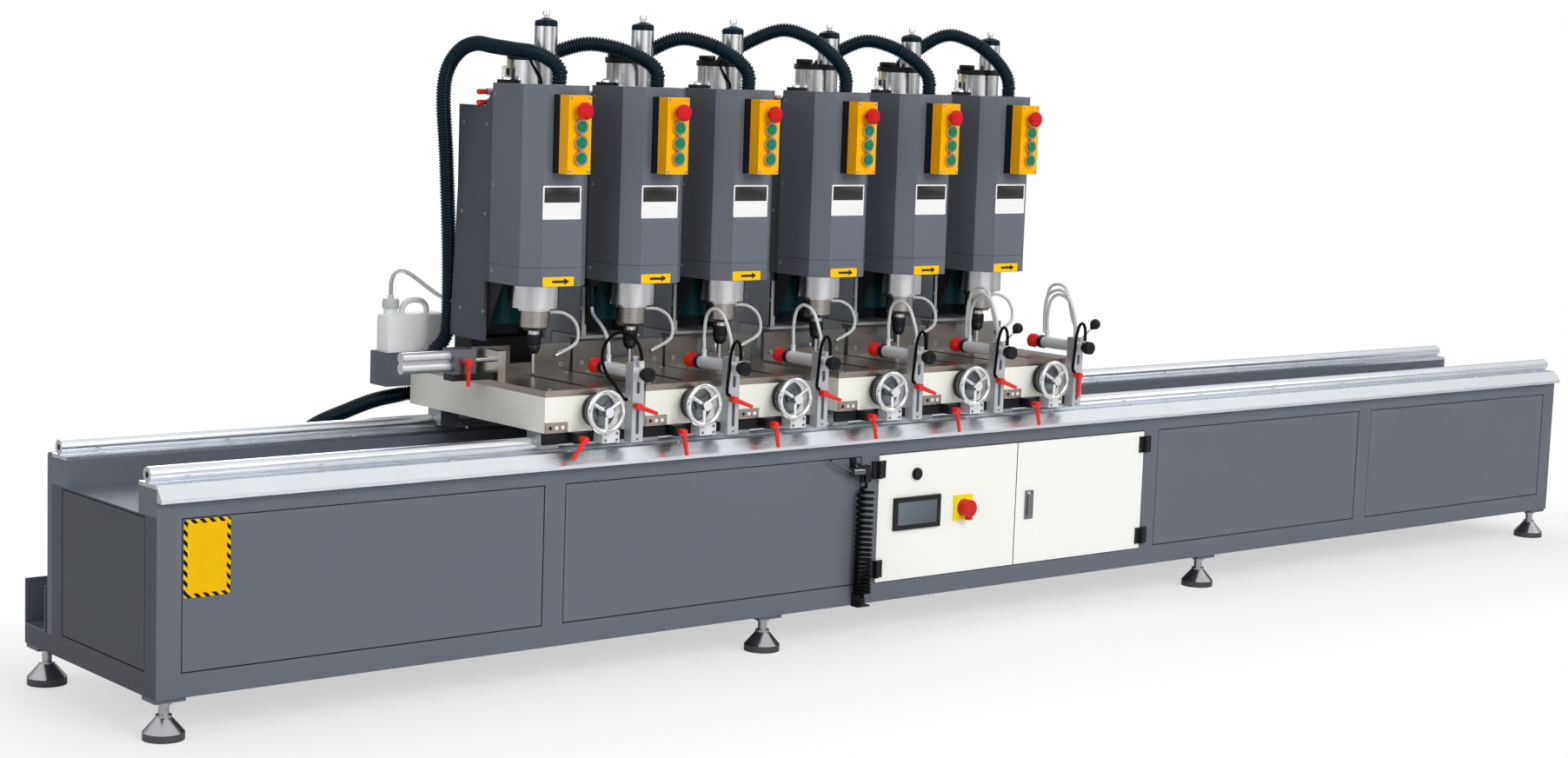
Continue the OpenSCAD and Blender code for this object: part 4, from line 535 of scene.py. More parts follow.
def grown(name, source, tree, **inputs):
    """Plain mesh object that a geometry tree makes from a source curve or mesh."""
    holder = bpy.data.objects.new(name + "_source", source)
    bpy.context.scene.collection.objects.link(holder)
    modifier = holder.modifiers.new("tree", "NODES")
    modifier.node_group = tree
    names = {item.name.replace(" ", "_"): item.identifier for item in tree.interface.items_tree
             if item.in_out == "INPUT"}
    for label, value in inputs.items():
        modifier[names[label]] = value
    bpy.context.view_layer.update()
    evaluated = holder.evaluated_get(bpy.context.evaluated_depsgraph_get())
    mesh = bpy.data.meshes.new_from_object(evaluated)
    holder.modifiers.remove(modifier)
    bpy.data.objects.remove(holder)
    mesh.name = name
    piece = bpy.data.objects.new(name, mesh)
    bpy.context.scene.collection.objects.link(piece)
    return piece


def line_curve(name, points):
    data = bpy.data.curves.new(name, "CURVE")
    data.dimensions = "3D"
    spline = data.splines.new("POLY")
    spline.points.add(len(points) - 1)
    for target, point in zip(spline.points, points):
        target.co = (*point, 1)
    return data


def settle(piece, body, slot):
    """Makes a piece ride its body; the slot, for what it is made of, is not used."""
    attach(piece, body)


def hose(name, origin, points, finish, d=TUBE_D, depth=0.0, sides=TUBE_SIDES):
    line = [metres(origin, p) for p in points]
    return grown(name, line_curve(name, line), HOSE_TREE, Diameter=d * MM, Rib_depth=depth,
                 Rib_pitch=RIB_PITCH * MM, Sides=sides, Finish=finish)


def tube(name, origin, body, slot, route, step, finish, d=TUBE_D, sides=TUBE_SIDES):
    """Smooth hose that rides one body, with its points a step apart."""
    settle(hose(name, origin, evenly(curve(route), step), finish, d, sides=sides), body, slot)


def span(piece, origin, points, first, second, bend):
    """Bakes a hose's place into its mesh; the hose is not made to bend between the two bodies."""
    last = len(points) - 1
    near, far = [metres(origin, points[min(last, round(len(points) * share))]) for share in bend]
    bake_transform(piece)
    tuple(near)
    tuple(far)


def conduit(name, origin, points, first, second, bend):
    piece = hose(name, origin, points, CONDUIT_BLACK, CONDUIT_D, RIB_DEPTH, CONDUIT_SIDES)
    span(piece, origin, points, first, second, bend)
    return piece


def rib_points(route):
    return evenly(curve(route), RIB_PITCH / RIB_POINTS)


def whole_ribs(points, share):
    """Index at a share of the points that falls between two ribs."""
    return round(len(points) * share / RIB_POINTS) * RIB_POINTS


def loop_route(n):
    here, there = (spindle(n).x - BED.x) / MM, (spindle(n + 1).x - BED.x) / MM
    lift = LOOP_LIFTS[n - 1]
    return ([(x + here, y, z + lift * share) for x, y, z, share in LOOP_NEAR]
            + [(x + there, y, z + lift * share) for x, y, z, share in LOOP_FAR])


def lay_conduits():
    """Ribbed conduits: the lead to the first head, the supply to the tray and a loop to each next head."""
    lead = conduit("conduit_lead", spindle(1), rib_points(LEAD_ROUTE), "carriage_1", "head_1", LEAD_BEND)
    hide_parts("conduits")
    conduit("conduit_supply", BED, rib_points(SUPPLY_ROUTE), "carriage_1", "bed", SUPPLY_BEND)
    for n in STATIONS[:-1]:
        points = rib_points(loop_route(n))
        first, second = whole_ribs(points, LOOP_FIRST), whole_ribs(points, LOOP_SECOND)
        runs = [("out", points[:first + 1], f"head_{n}", f"carriage_{n}", OUT_BEND),
                ("span", points[first:second + 1], f"carriage_{n}", f"carriage_{n + 1}", SPAN_BEND),
                ("in", points[second:], f"carriage_{n + 1}", f"head_{n + 1}", IN_BEND)]
        for part, run, first_body, second_body, bend in runs:
            conduit(f"conduit_{n}_{part}", BED, run, first_body, second_body, bend)


# Curly hose of the air gun: a helix that closes up towards its lower end
CURL_AXIS = (1912, -19)
CURL_TOP, CURL_BOTTOM = 403, 111
CURL_D, CURL_TUBE_D, CURL_SIDES, CURL_COUNT = 46, 7.8, 10, 22
CURL_OPEN_SHARE, CURL_LEAD, CURL_POINTS = 1.34, 0.7, 24
CURL_SIDE, CURL_FORWARD = -6, -5.5


def curl_points():
    tall = CURL_TOP - CURL_BOTTOM - 2 * CURL_TUBE_D
    pitch = tall / CURL_COUNT
    spread = pitch * (CURL_OPEN_SHARE - 1)
    points = [Vector((*CURL_AXIS, CURL_TOP))]
    for i in range(CURL_COUNT * CURL_POINTS + 1):
        turn = i / CURL_POINTS
        ease = min(1, turn / CURL_LEAD, (CURL_COUNT - turn) / CURL_LEAD)
        radius = (CURL_D - CURL_TUBE_D) / 2 * ease * ease * (3 - 2 * ease)
        height = CURL_TOP - CURL_TUBE_D - (pitch + spread) * turn + spread * turn * turn / CURL_COUNT
        x, y = CURL_AXIS[0] + CURL_SIDE * ease, CURL_AXIS[1] + CURL_FORWARD * ease
        points.append(Vector((x + radius * cos(2 * pi * turn), y + radius * sin(2 * pi * turn), height)))
    return points + [Vector((*CURL_AXIS, CURL_BOTTOM))]


def hang_air_hose():
    points = curl_points()
    piece = hose("curly_air_hose", BED, points, HOSE_BLACK, CURL_TUBE_D, sides=CURL_SIDES)
    settle(piece, "bed", "hose_rubber")
    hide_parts("air_hose")
    path = [metres(BED, p) for p in points]
    length = sum((b - a).length for a, b in zip(path, path[1:]))
    tuple(path[-1])
    [tuple(p) for p in path[::-1]]


lay_conduits()
hang_air_hose()


# Meshes built from solids. Points closer than CLOSE are one, faces within FLAT are joined, and a rounding
# takes at most a share of a solid's thinnest side
CLOSE, FLAT, ROUNDING_SHARE = 0.01, radians(0.6), 0.12


class Piece:
    """Mesh in millimetres about an origin; every solid in it has its own finish."""

    def __init__(self, origin):
        self.origin, self.mesh, self.finishes = origin, bmesh.new(), []

    def index(self, finish):
        if finish not in self.finishes:
            self.finishes.append(finish)
        return self.finishes.index(finish)

    def add(self, solid, finish=None, rounding=0.0):
        """Takes a solid over, with its edges rounded and its curved faces smooth."""
        if finish:
            for face in solid.faces:
                face.material_index = self.index(finish)
        for face in solid.faces:
            angles = [e.calc_face_angle(0) for e in face.edges if len(e.link_faces) == 2]
            face.smooth = any(SHALLOW < a < CREASE for a in angles)
        sharp = [e for e in solid.edges if len(e.link_faces) == 2 and e.calc_face_angle(0) > CREASE]
        if rounding and sharp:
            made = bmesh.ops.bevel(solid, geom=sharp, offset=rounding, segments=2, profile=0.5,
                                   affect="EDGES", clamp_overlap=True, material=-1)
            for face in made["faces"]:
                face.smooth = True
        scratch = bpy.data.meshes.new("solid")
        solid.to_mesh(scratch)
        solid.free()
        self.mesh.from_mesh(scratch)
        bpy.data.meshes.remove(scratch)

    def box(self, low, high, finish, rounding=1.0):
        solid = bmesh.new()
        bmesh.ops.create_cube(solid, size=1)
        for v in solid.verts:
            v.co = Vector([(h if c > 0 else l) for c, l, h in zip(v.co, low, high)])
        self.add(solid, finish, rounding)

    def lathe(self, base, axis, profile, finish, rounding=0.0, sides=36):
        """Turned solid: the profile's radius and height pairs run along an axis from the base."""
        solid = bmesh.new()
        rings = []
        turns = [2 * pi * k / sides for k in range(sides)]
        for radius, height in profile:
            if radius:
                ring = [(radius * cos(a), radius * sin(a), height) for a in turns]
            else:
                ring = [(0, 0, height)]
            rings.append([solid.verts.new(point) for point in ring])
        for a, b in zip(rings, rings[1:]):
            for k in range(sides):
                m = (k + 1) % sides
                corners = [a[k % len(a)], a[m % len(a)], b[m % len(b)], b[k % len(b)]]
                solid.faces.new(list(dict.fromkeys(corners)))
        for ring in (rings[0], rings[-1]):
            if len(ring) > 1:
                solid.faces.new(ring)
        turn = Vector(UP).rotation_difference(Vector(axis)).to_matrix().to_4x4()
        solid.transform(Matrix.Translation(base) @ turn)
        bmesh.ops.recalc_face_normals(solid, faces=solid.faces)
        self.add(solid, finish, rounding)

    def rod(self, start, end, d, finish, rounding=0.8, end_d=None, sides=36):
        run = Vector(end) - Vector(start)
        self.lathe(start, run, [(d / 2, 0), ((end_d or d) / 2, run.length)], finish, rounding, sides)

    def plate(self, outline, axis, low, high, finish, rounding=0.0):
        """Flat piece: an outline in the two other axes, drawn out along an axis."""
        solid = bmesh.new()
        order = {"x": (2, 0, 1), "y": (0, 2, 1), "z": (0, 1, 2)}[axis]
        faces = []
        for level in (low, high):
            corners = [(u, v, level) for u, v in outline]
            faces.append([solid.verts.new([corner[i] for i in order]) for corner in corners])
            solid.faces.new(faces[-1])
        for k in range(len(outline)):
            m = (k + 1) % len(outline)
            solid.faces.new([faces[0][k], faces[0][m], faces[1][m], faces[1][k]])
        bmesh.ops.recalc_face_normals(solid, faces=solid.faces)
        self.add(solid, finish, rounding)

    def carry(self, node, rules, finish, rounding=0.8):
        """Takes over the solids of a CAD node. A rule gives a finish, or None to leave out, and a rounding
        to the solids that lie between its two corners, or to the faces that do where it ends in True."""
        whole = bmesh.new()
        whole.from_mesh(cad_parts[node].data)
        bmesh.ops.remove_doubles(whole, verts=whole.verts, dist=CLOSE * MM)
        whole.transform(Matrix.Scale(1 / MM, 4) @ Matrix.Translation(-self.origin))
        bmesh.ops.dissolve_limit(whole, angle_limit=FLAT, verts=whole.verts, edges=whole.edges)
        for faces in islands(whole):
            solid = bmesh.new()
            copies = {}
            for face in faces:
                corners = []
                for v in face.verts:
                    if v not in copies:
                        copies[v] = solid.verts.new(v.co)
                    corners.append(copies[v])
                solid.faces.new(corners)
            self.dress(solid, rules, finish, rounding)
        whole.free()

    def dress(self, solid, rules, finish, rounding):
        low = Vector([min(v.co[i] for v in solid.verts) for i in range(3)])
        high = Vector([max(v.co[i] for v in solid.verts) for i in range(3)])
        parts = []
        for rule in rules:
            by_face = len(rule) == 5
            if by_face:
                parts.append(rule)
            elif inside(low, rule[1], rule[2]) and inside(high, rule[1], rule[2]):
                finish = rule[0]
                rounding = rule[3] if len(rule) > 3 else rounding
                break
        if finish is None:
            solid.free()
            return
        spare = []
        for face in solid.faces:
            face.material_index = self.index(finish)
            for part, lower, upper, _, _ in parts:
                if inside(face.calc_center_median(), lower, upper):
                    if part is None:
                        spare.append(face)
                    else:
                        face.material_index = self.index(part)
                    break
        if spare:
            bmesh.ops.delete(solid, geom=spare, context="FACES")
        self.add(solid, None, min(rounding, min(high - low) * ROUNDING_SHARE))

    def done(self, name, body, slot, node):
        """Puts the mesh in place as a piece that rides a body and stands for a CAD node."""
        self.mesh.transform(Matrix.Translation(self.origin) @ Matrix.Scale(MM, 4))
        mesh = bpy.data.meshes.new(name)
        self.mesh.to_mesh(mesh)
        self.mesh.free()
        for finish in self.finishes:
            mesh.materials.append(finish)
        mesh.set_sharp_from_angle(angle=CREASE)
        piece = bpy.data.objects.new(name, mesh)
        bpy.context.scene.collection.objects.link(piece)
        settle(piece, body, slot)
        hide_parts(node)


def dressed(name, origin, body, slot, node, finish, rounding=0.8, rules=()):
    """A piece that is one CAD node in its finishes."""
    piece = Piece(origin)
    piece.carry(node, rules, finish, rounding)
    piece.done(name, body, slot, node)


def inside(point, low, high):
    return all(l - CLOSE <= p <= h + CLOSE for p, l, h in zip(point, low, high))


def islands(mesh):
    """Groups of faces that hang together."""
    seen, groups = set(), []
    for start in mesh.faces:
        if start in seen:
            continue
        seen.add(start)
        group, queue = [], [start]
        while queue:
            face = queue.pop()
            group.append(face)
            for edge in face.edges:
                for other in edge.link_faces:
                    if other not in seen:
                        seen.add(other)
                        queue.append(other)
        groups.append(group)
    return groups


def screws(name, origin, body, slot, places, d, h, finish):
    """Screws at places, each with the way that it faces; a place is the middle of the screw's head."""
    source = bpy.data.meshes.new(name)
    source.from_pydata([metres(origin, place) for place, _ in places], [], [])
    facing = source.attributes.new("facing", "FLOAT_VECTOR", "POINT")
    for item, (_, way) in zip(facing.data, places):
        item.vector = way
    piece = grown(name, source, SCREW_TREE, Diameter=d * MM, Height=h * MM, Finish=finish,
                  Socket_finish=BLACK_PLASTIC)
    settle(piece, body, slot)


def bars(name, origin, body, slot, count, radius, bar, centre, turn, finish):
    source = bpy.data.meshes.new(name)
    piece = grown(name, source, RING_TREE, Count=count, Radius=radius * MM, Bar=[v * MM for v in bar],
                  Centre=metres(origin, centre), Turn=turn, Finish=finish)
    settle(piece, body, slot)


# The bed
NOTICE_CENTRE, NOTICE_HALF, NOTICE_ROUND = (113.5, -0.6, 381), (53.5, 82), 8
NOTICE_BORDER, NOTICE_STRIPE, NOTICE_PROUD = 9, 21, 0.4
# Rules on finishes, for Piece.carry: painted shade, a near black in the recesses round the panels and a
# darker gray on the left end
BED_RULES = [(GAP_SHADE_PAINT, (10, 0.3, 100), (BED_LENGTH - 10, 3.5, 520), 0, True),
             (GAP_SHADE_PAINT, (0.7, 30, 100), (3.5, 700, 520), 0, True),
             (END_SHADE_PAINT, (-60, -30, 0), (0.6, 800, 600), 0, True)]
PANEL_RULES = [(END_SHADE_PAINT, (-60, -30, 0), (3.1, 800, 600), 0, True)]
RAIL_RULES = [(BED_PAINT, (-1, -1, 470), (BED_LENGTH + 1, 502, 531)),
              (BAR_END, (-0.1, -1, 500), (0.1, 520, 600), 0, True)]
FEET_RULES = [(FOOT_RIM, (-20, -20, -1), (5000, 700, 15), 0, True)]
GEAR_RULES = [(ZINC, (2010, 310, 160), (2900, 321, 440))]
RAIL_SCREWS, RAIL_SCREW_END, RAIL_SCREW_Z = 16, 90, 539.3
# Depth of each row of rail screws and how far it is shifted along the bed
RAIL_SCREW_ROWS = [(17, 0), (75, 40), (440, 0), (492, 40)]


def rounded(centre, half, radius, steps=5):
    """Outline of a rectangle with round corners."""
    outline = []
    for corner, (sx, sy) in enumerate(((1, 1), (-1, 1), (-1, -1), (1, -1))):
        for s in range(steps + 1):
            a = (corner + s / steps) * pi / 2
            outline.append((centre[0] + sx * (half[0] - radius) + radius * cos(a),
                            centre[1] + sy * (half[1] - radius) + radius * sin(a)))
    return outline


def dress_bed():
    dressed("bed_body", BED, "bed", "bed_paint", "bed_frame", BED_PAINT, 1.5, BED_RULES)
    panels = Piece(BED)
    panels.carry("bed_panels", PANEL_RULES, PANEL_PAINT, 0.5)
    notice = striped_notice("notice_yellow", BED, NOTICE_CENTRE, NOTICE_HALF, NOTICE_BORDER, NOTICE_STRIPE)
    outline = rounded((NOTICE_CENTRE[0], NOTICE_CENTRE[2]), NOTICE_HALF, NOTICE_ROUND)
    panels.plate(outline, "y", -NOTICE_PROUD, NOTICE_PROUD, notice)
    panels.done("bed_covers", "bed", "bed_paint", "bed_panels")
    for node in ("front_rail", "rear_rail"):
        dressed(node + "_bar", BED, "bed", "rail_steel", node, RAIL_STEEL, 1.2, RAIL_RULES)
    dressed("feet", BED, "bed", "foot_steel", "levelling_feet", FOOT_STEEL, 0, FEET_RULES)
    dressed("tray", BED, "bed", "bed_paint", "cable_tray", BED_PAINT)
    dressed("gear", BED, "bed", "black_plastic", "control_gear", BLACK_PLASTIC, 2, GEAR_RULES)
    pitch = (BED_LENGTH - 2 * RAIL_SCREW_END) / (RAIL_SCREWS - 1)
    places = [((RAIL_SCREW_END + k * pitch + shift, y, RAIL_SCREW_Z), UP)
              for k in range(RAIL_SCREWS) for y, shift in RAIL_SCREW_ROWS]
    screws("rail_screws", BED, "bed", "rail_steel", places, 12, 2.4, ZINC)


HINGE_RULES = [(BLACK_PAINT, (1940, -16, 130), (2000, -1.9, 480)),
               (BLACK_PAINT, (2910, -16, 130), (2970, -1.9, 480))]
LEFT_DOOR_RULES = [(BLACK_PLASTIC, (2080, -9, 390), (2114, -1.9, 430)),
                   (LEMON_YELLOW, (2228, -9, 270), (2296, -1.9, 350), 3)]
RIGHT_DOOR_RULES = [(LOCK_STEEL, (2480, -8, 250), (2520, -1.9, 340))]
DISPLAY_GLASS = (2032, -9, 281), (2168, -8, 341)
DISPLAY_SEAT = (2030, -9.5, 280), (2170, -7.9, 342)
GUN_RULES = [
    (BLACK_PLASTIC, (1891, -28, 88), (1933, 0.1, 124)),  # fitting on the bed
    (BLACK_PAINT, (1870, -25, 438), (1890, 0.1, 468)),  # hook
    (BLACK_PLASTIC, (1897, -29, 403), (1922, -9, 462), 5),  # grip
    (BLACK_PLASTIC, (1892, -25, 404), (1899, -13, 437)),  # trigger
    (None, (1903, -28, 384), (1921, -10, 404)),  # collar of the hose, left out
]
GUN_LEVER = [(1862, -29, 452), (1866, -29, 455), (1880, -29, 453), (1896, -28, 441), (1906, -27, 425),
             (1908, -26, 412)]


def dress_cabinet():
    meeting = [(x - BED.x) / MM for x in (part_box("left_door")[1][0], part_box("right_door")[0][0])]
    # Painted shade: the doors' faces at their meeting edge are dark, for the shade in the gap
    leaf = HINGE_RULES + [(GAP_SHADE_PAINT, (x - 0.5, -3, 0), (x + 0.5, 30, 600), 0, True) for x in meeting]
    for side, rules in (("left", LEFT_DOOR_RULES), ("right", RIGHT_DOOR_RULES)):
        dressed(f"door_{side}", BED, f"{side}_door", "cabinet_paint", f"{side}_door", CABINET_PAINT, 1.5,
                leaf + rules)
    dressed("hinges", BED, "bed", "black_metal", "door_hinges", BLACK_PAINT)
    display = display_with_painted_reflection("display_glass", BED, *DISPLAY_GLASS)
    dressed("operator_panel", BED, "left_door", "black_plastic", "touch_screen", BLACK_PLASTIC, 1.5,
            [(display, *DISPLAY_SEAT)])
    dressed("switch_knob", BED, "main_switch", "red_plastic", "main_switch", STOP_RED, 2)
    dressed("lock_lever", BED, "door_lock", "chrome", "door_lock", LOCK_STEEL, 1.5)
    dressed("cabinet_button", BED, "door_button", "black_plastic", "door_button", BLACK_PLASTIC, 2)
    dressed("blow_gun", BED, "bed", "alloy", "air_gun", GUN_REFLECTION_CHROME, 2, GUN_RULES)
    tube("gun_lever", BED, "bed", "black_plastic", GUN_LEVER, 3, BLACK_PLASTIC, 5)


# Stations
TABLE_RULES = [
    (GROUND_STEEL, (-136, -1, 667), (136, 296, 683), 0.8),  # top plate
    (SLIDE_STEEL, (-136, 294, 667), (136, 573, 683), 0.8),  # slideway plate
    (FENCE_STEEL, (-136, 294, 682), (136, 308, 752), 0.8),  # fence
    (BEARING_ALLOY, (-133, 17, 546), (133, 495, 585.2), 2.5),  # bearings
    (CAST_ALLOY, (7, -27, 556), (57, 27, 585.2), 1.5),  # index block
    (None, (-75, -27, 556), (-27, 23, 585.2)),  # lock block, made anew
    (RED_PLASTIC, (-130, -48, 505), (-20, -25.9, 582), 3),  # lock lever
    (GROUND_STEEL, (-136, -4, 584), (-72, 0.2, 610), 0.5),  # pointer plate
    (POST_ALLOY, (68, -18, 584), (116, 0.1, 620), 1.5),  # foot of the clamp post
    (None, (76, -91, 701), (108, -61.9, 733)),  # clamp knob, made anew
    (RED_PLASTIC, (70, -67, 560), (150, -44.9, 660), 3),  # post lever
    (POST_ALLOY, (70, -46, 556), (109, -16, 752), 1.5),  # clamp post
    (CAST_ALLOY, (76, -63, 701), (108, 96, 742.2), 1),  # clamp cylinder
    (BLACK_PLASTIC, (74, 82, 699), (110, 96, 735), 1),  # its front ring
    (None, (40, -59, 640), (97, 45, 820)),  # black tube, made anew
    (None, (75, -36, 741), (97, 79, 856)),  # white tube, made anew
    (DRAWN_ALLOY, (-363, 236, 701), (-233, 264, 753), 2),  # twin cylinder of the end stop
    (DIAL_STEEL, (-235, 223, 697), (-175, 277, 757), 2.5),  # its block
    (RED_PLASTIC, (-214, 203, 665), (-195, 225, 740), 3),  # its lever
    (TURNED_STEEL, (-178, 242, 719), (-104, 258, 735)),  # its rod
    (STOP_STEEL, (-120, 216, 681), (-97, 284, 750), 1),  # its plate
    (DARK_STEEL, (-235, 229, 681), (-118, 271, 699), 1),  # its arm
    (BLACK_PLASTIC, (-134, 480, 682), (-90, 530, 706)),  # gland of the lead
    (BLACK_PLASTIC, (-121, 571, 582), (-77, 579, 626)),  # gland of the supply
]
# Turned profiles: radius and height pairs
CLAMP_KNOB = [(0, 1), (3.5, 0.4), (4, 1.6), (6, 1.6), (6.5, 0.4), (14, 0), (16.5, 2), (16.5, 17),
              (14.5, 19), (11, 19.5), (11, 27.9)]
BALL_KNOB = [(0, -14), (7, -12), (12, -7.5), (14, -1), (13, 5), (9, 11), (5, 13.5), (5, 16)]
LOCK_BLOCK = (-66, -26, 560), (-34, 20, 584.9)
# Painted shadow: a dark strip under the front of the casting
UNDER_CASTING_SHADOW = (-133, 9, 557), (133, 15, 584.9)
POINTER_WINDOWS = [(-121, DARK_STEEL), (-104, CHROME), (-87, CHROME)]
WINDOW_D, WINDOW_FACE, WINDOW_BACK, WINDOW_Z = 9, -3.6, -2.6, 597
CLAMP_KNOB_PLACE, CLAMP_KNOB_WAY = (92, -90, 717.15), (0, 1, 0)
TUBE_SOCKET_D = 13
# The last two stations have a ball lever and three white tubes
FULL_STATIONS = (5, 6)
BALL_LEVER = ((98, -44, 735), (112, -66, 766), 6, CHROME)
BALL_PLACE, BALL_WAY = (118, -75, 779), (-14, 22, -31)
TABLE_SCREWS = (
    [((x, -26.8, z), FORWARD) for x in (16, 48) for z in (563.5, 578.5)]
    + [((92, -45.8, z), FORWARD) for z in (565, 703)]
    + [((x, y, 682.3), UP) for x in (-110, 110) for y in (20, 270)]
    + [((x, y, 682.3), UP) for x in (-120, 120) for y in (330, 540)]
    + [((x, 293.9, 700), FORWARD) for x in (-110, 110)])


def lay_far_tube(here):
    """Air tube from the first station's clamp over to the second head, in two lengths."""
    points = evenly(curve(FAR_ROUTE), 4)
    middle = round(len(points) * FAR_SECOND)
    runs = [("near", points[:middle + 1], "carriage_1", "carriage_2", NEAR_TUBE_BEND),
            ("far", points[middle:], "carriage_2", "head_2", FAR_TUBE_BEND)]
    for name, run, first, second, bend in runs:
        span(hose(f"far_tube_{name}", here, run, TUBE_WHITE), here, run, first, second, bend)


def dress_table(n):
    here, body = spindle(n), f"carriage_{n}"
    black = BLACK_ROUTE if n == 1 else NARROW_ROUTE
    table = Piece(here)
    table.carry(f"table_{n}", TABLE_RULES, CASTING_PAINT, 2.5)
    table.lathe(CLAMP_KNOB_PLACE, CLAMP_KNOB_WAY, CLAMP_KNOB, RUBBER, 0.4)
    for x, y, top in (WHITE_ROUTE[0], black[0], WHITE_ROUTE[-1]):
        table.rod((x, y, top - 1), (x, y, top + 5), TUBE_SOCKET_D, TUBE_WHITE, 1.5)
    if n in FULL_STATIONS:
        table.rod(*BALL_LEVER)
        table.lathe(BALL_PLACE, BALL_WAY, BALL_KNOB, RUBBER)
    table.box(*LOCK_BLOCK, BLACK_PAINT, 2)
    # Painted shadow under the casting's front
    table.box(*UNDER_CASTING_SHADOW, RUBBER, 1)
    for x, finish in POINTER_WINDOWS:
        table.rod((x, WINDOW_FACE, WINDOW_Z), (x, WINDOW_BACK, WINDOW_Z), WINDOW_D, finish, 0)
    table.done(f"table_{n}_dressed", body, "casting_paint", f"table_{n}")
    tubes = [("black", black, HOSE_BLACK)]
    if n > 1:
        tubes.append(("white", WHITE_ROUTE, TUBE_WHITE))
    if n in FULL_STATIONS:
        tubes += [("second", SECOND_ROUTE, TUBE_WHITE), ("third", THIRD_ROUTE, TUBE_WHITE)]
    for name, route, finish in tubes:
        tube(f"air_tube_{name}_{n}", here, body, "hose_plastic", route, 5, finish)
    if n == 1:
        lay_far_tube(here)
    screws(f"table_{n}_screws", here, body, "casting_paint", TABLE_SCREWS, 9, 2, ZINC)


HEAD_RULES = [
    (START_GREEN, (-13, 70, 1180), (13, 84, 1296), 2),  # start buttons
    (BEZEL_STEEL, (-18, 70, 1180), (18, 84, 1298), 1.5),  # their bezels
    (YELLOW_PLASTIC, (-33, 82, 1160), (33, 117.6, 1350), 4),  # front of the button box
    (BLACK_PLASTIC, (-33, 116, 1160), (33, 143, 1350), 4),  # its back
    (None, (-126, 350, 1310), (-83, 370, 1352)),  # valve levers, made anew
    (None, (-84, 346, 1310), (-56, 372, 1352)),  # their valve, made anew
    (CHROME, (-82, 271, 1374), (-58, 295, 1386)),  # dome nut
    (BLACK_PLASTIC, (-87, 267, 1366), (-53, 299, 1375), 2),  # its base
    (None, (36, 285, 1519), (56, 305, 1537)),  # nipple, made anew
    (None, (18, 267, 1499), (74, 323, 1521)),  # cap of the slim cylinder, made anew
    (TURNED_STEEL, (18, 267, 1433), (74, 323, 1501), 0),  # slim cylinder
    (BLACK_PAINT, (-52, 236, 1419), (80, 354, 1435), 2.5),  # cap of the feed cylinder
    (TURNED_STEEL, (-47, 240, 1290), (63, 350, 1421), 0),  # feed cylinder
    (BLACK_PLASTIC, (40, 378, 1311), (84, 422, 1327), 2),  # gland of a loop
    (BLACK_PAINT, (-82, 263, 783), (-74, 353, 903)),  # left gusset
    (BLACK_PAINT, (74, 263, 783), (82, 353, 903)),  # right gusset
    (MOTOR_PAINT, (-57, 317, 799), (57, 431, 1294), 3),  # motor
    (COVER_PAINT, (-93, 141, 901), (93, 304.1, 1367), 1.2),  # cover
    (DARK_STEEL, (-82, 190, 940), (82, 444, 1246)),  # bridges
    (RUBBER, (-40, 210, 1269), (40, 414, 1295)),  # belt
    (None, (46, 200, 720), (125, 262, 846), 0, True),  # coolant tube, made anew
    (TURNED_STEEL, (-59, 190, 720), (119, 309, 1270), 0),  # spindle nose
]
# Outlines of the back cover: the first head's, and the longer one of the others
BACK_COVERS = [[(444.1, 761), (474, 761), (474, 785), (447, 1200), (444.1, 1200)],
               [(452.5, 690), (515, 690), (515, 785), (447, 1200), (444.1, 1200), (444.1, 761.5),
                (452.5, 761.5)]]
CHECK_CAP = [(27, 0), (27, 10.5), (25, 14), (18, 17), (10, 19.5), (9, 20)]
NIPPLE = [(6, 0), (6, 6), (9, 6.5), (9, 13), (8, 16), (0, 16)]
CHECK_CAP_PLACE, NIPPLE_PLACE = (46, 295, 1500.2), (46, 295, 1520.1)
VALVE_Y, VALVE_HEIGHTS = 360, (1344, 1319)
NOZZLE_D, NOZZLE_TIP_D, NOZZLE_BACK, NOZZLE_LONG = 11, 7, 2, 22
COOLANT_FITTING_LONG = 10
COLUMN_FOOT = (-90, 378, 600), (90, 452, 761)
BACK_COVER_HALF = 88.5
# Rods: start, end, diameter, finish and rounding. Boxes: corners, finish and rounding
SIDE_FITTINGS = [((-66, 300, 1366), (-66, 300, 1406), 10, LABEL_WHITE, 2),
                 ((-55, 300, 1366), (-55, 300, 1400), 9, BLACK_PLASTIC, 1),
                 ((-55, 300, 1399), (-54, 300, 1422), 7, FITTING_YELLOW, 2)]
HOSE_FITTING = ((-90, 287, 836), (-89, 290, 884), 16, CONDUIT_BLACK, 2)
CAP_PLUG = ((-14, 318, 1434), (-14, 318, 1446), 42, BLACK_PLASTIC, 3)
BACK_PLATE = ((-80.5, 434, 761), (80.5, 440, 905), HEAD_SHADE_PAINT, 0.5)
# Sheets on the later heads' columns; the last two, in side gray on the left walls, are painted light
COLUMN_SHEETS = [((-89, 326, 760.5), (-76, 334, 880), PALE_PAINT, 1),
                 ((-89, 330, 753), (89, 377.9, 760), PALE_PAINT, 1),
                 ((-89.6, 335, 763), (-89.1, 500, 902), SIDE_LIGHT_PAINT, 0.1),
                 ((-89.6, 453, 690), (-88.6, 515, 763), SIDE_LIGHT_PAINT, 0.1)]
SENSOR_HEADS, FITTING_HEADS = (1, 3), (1, 5, 6)
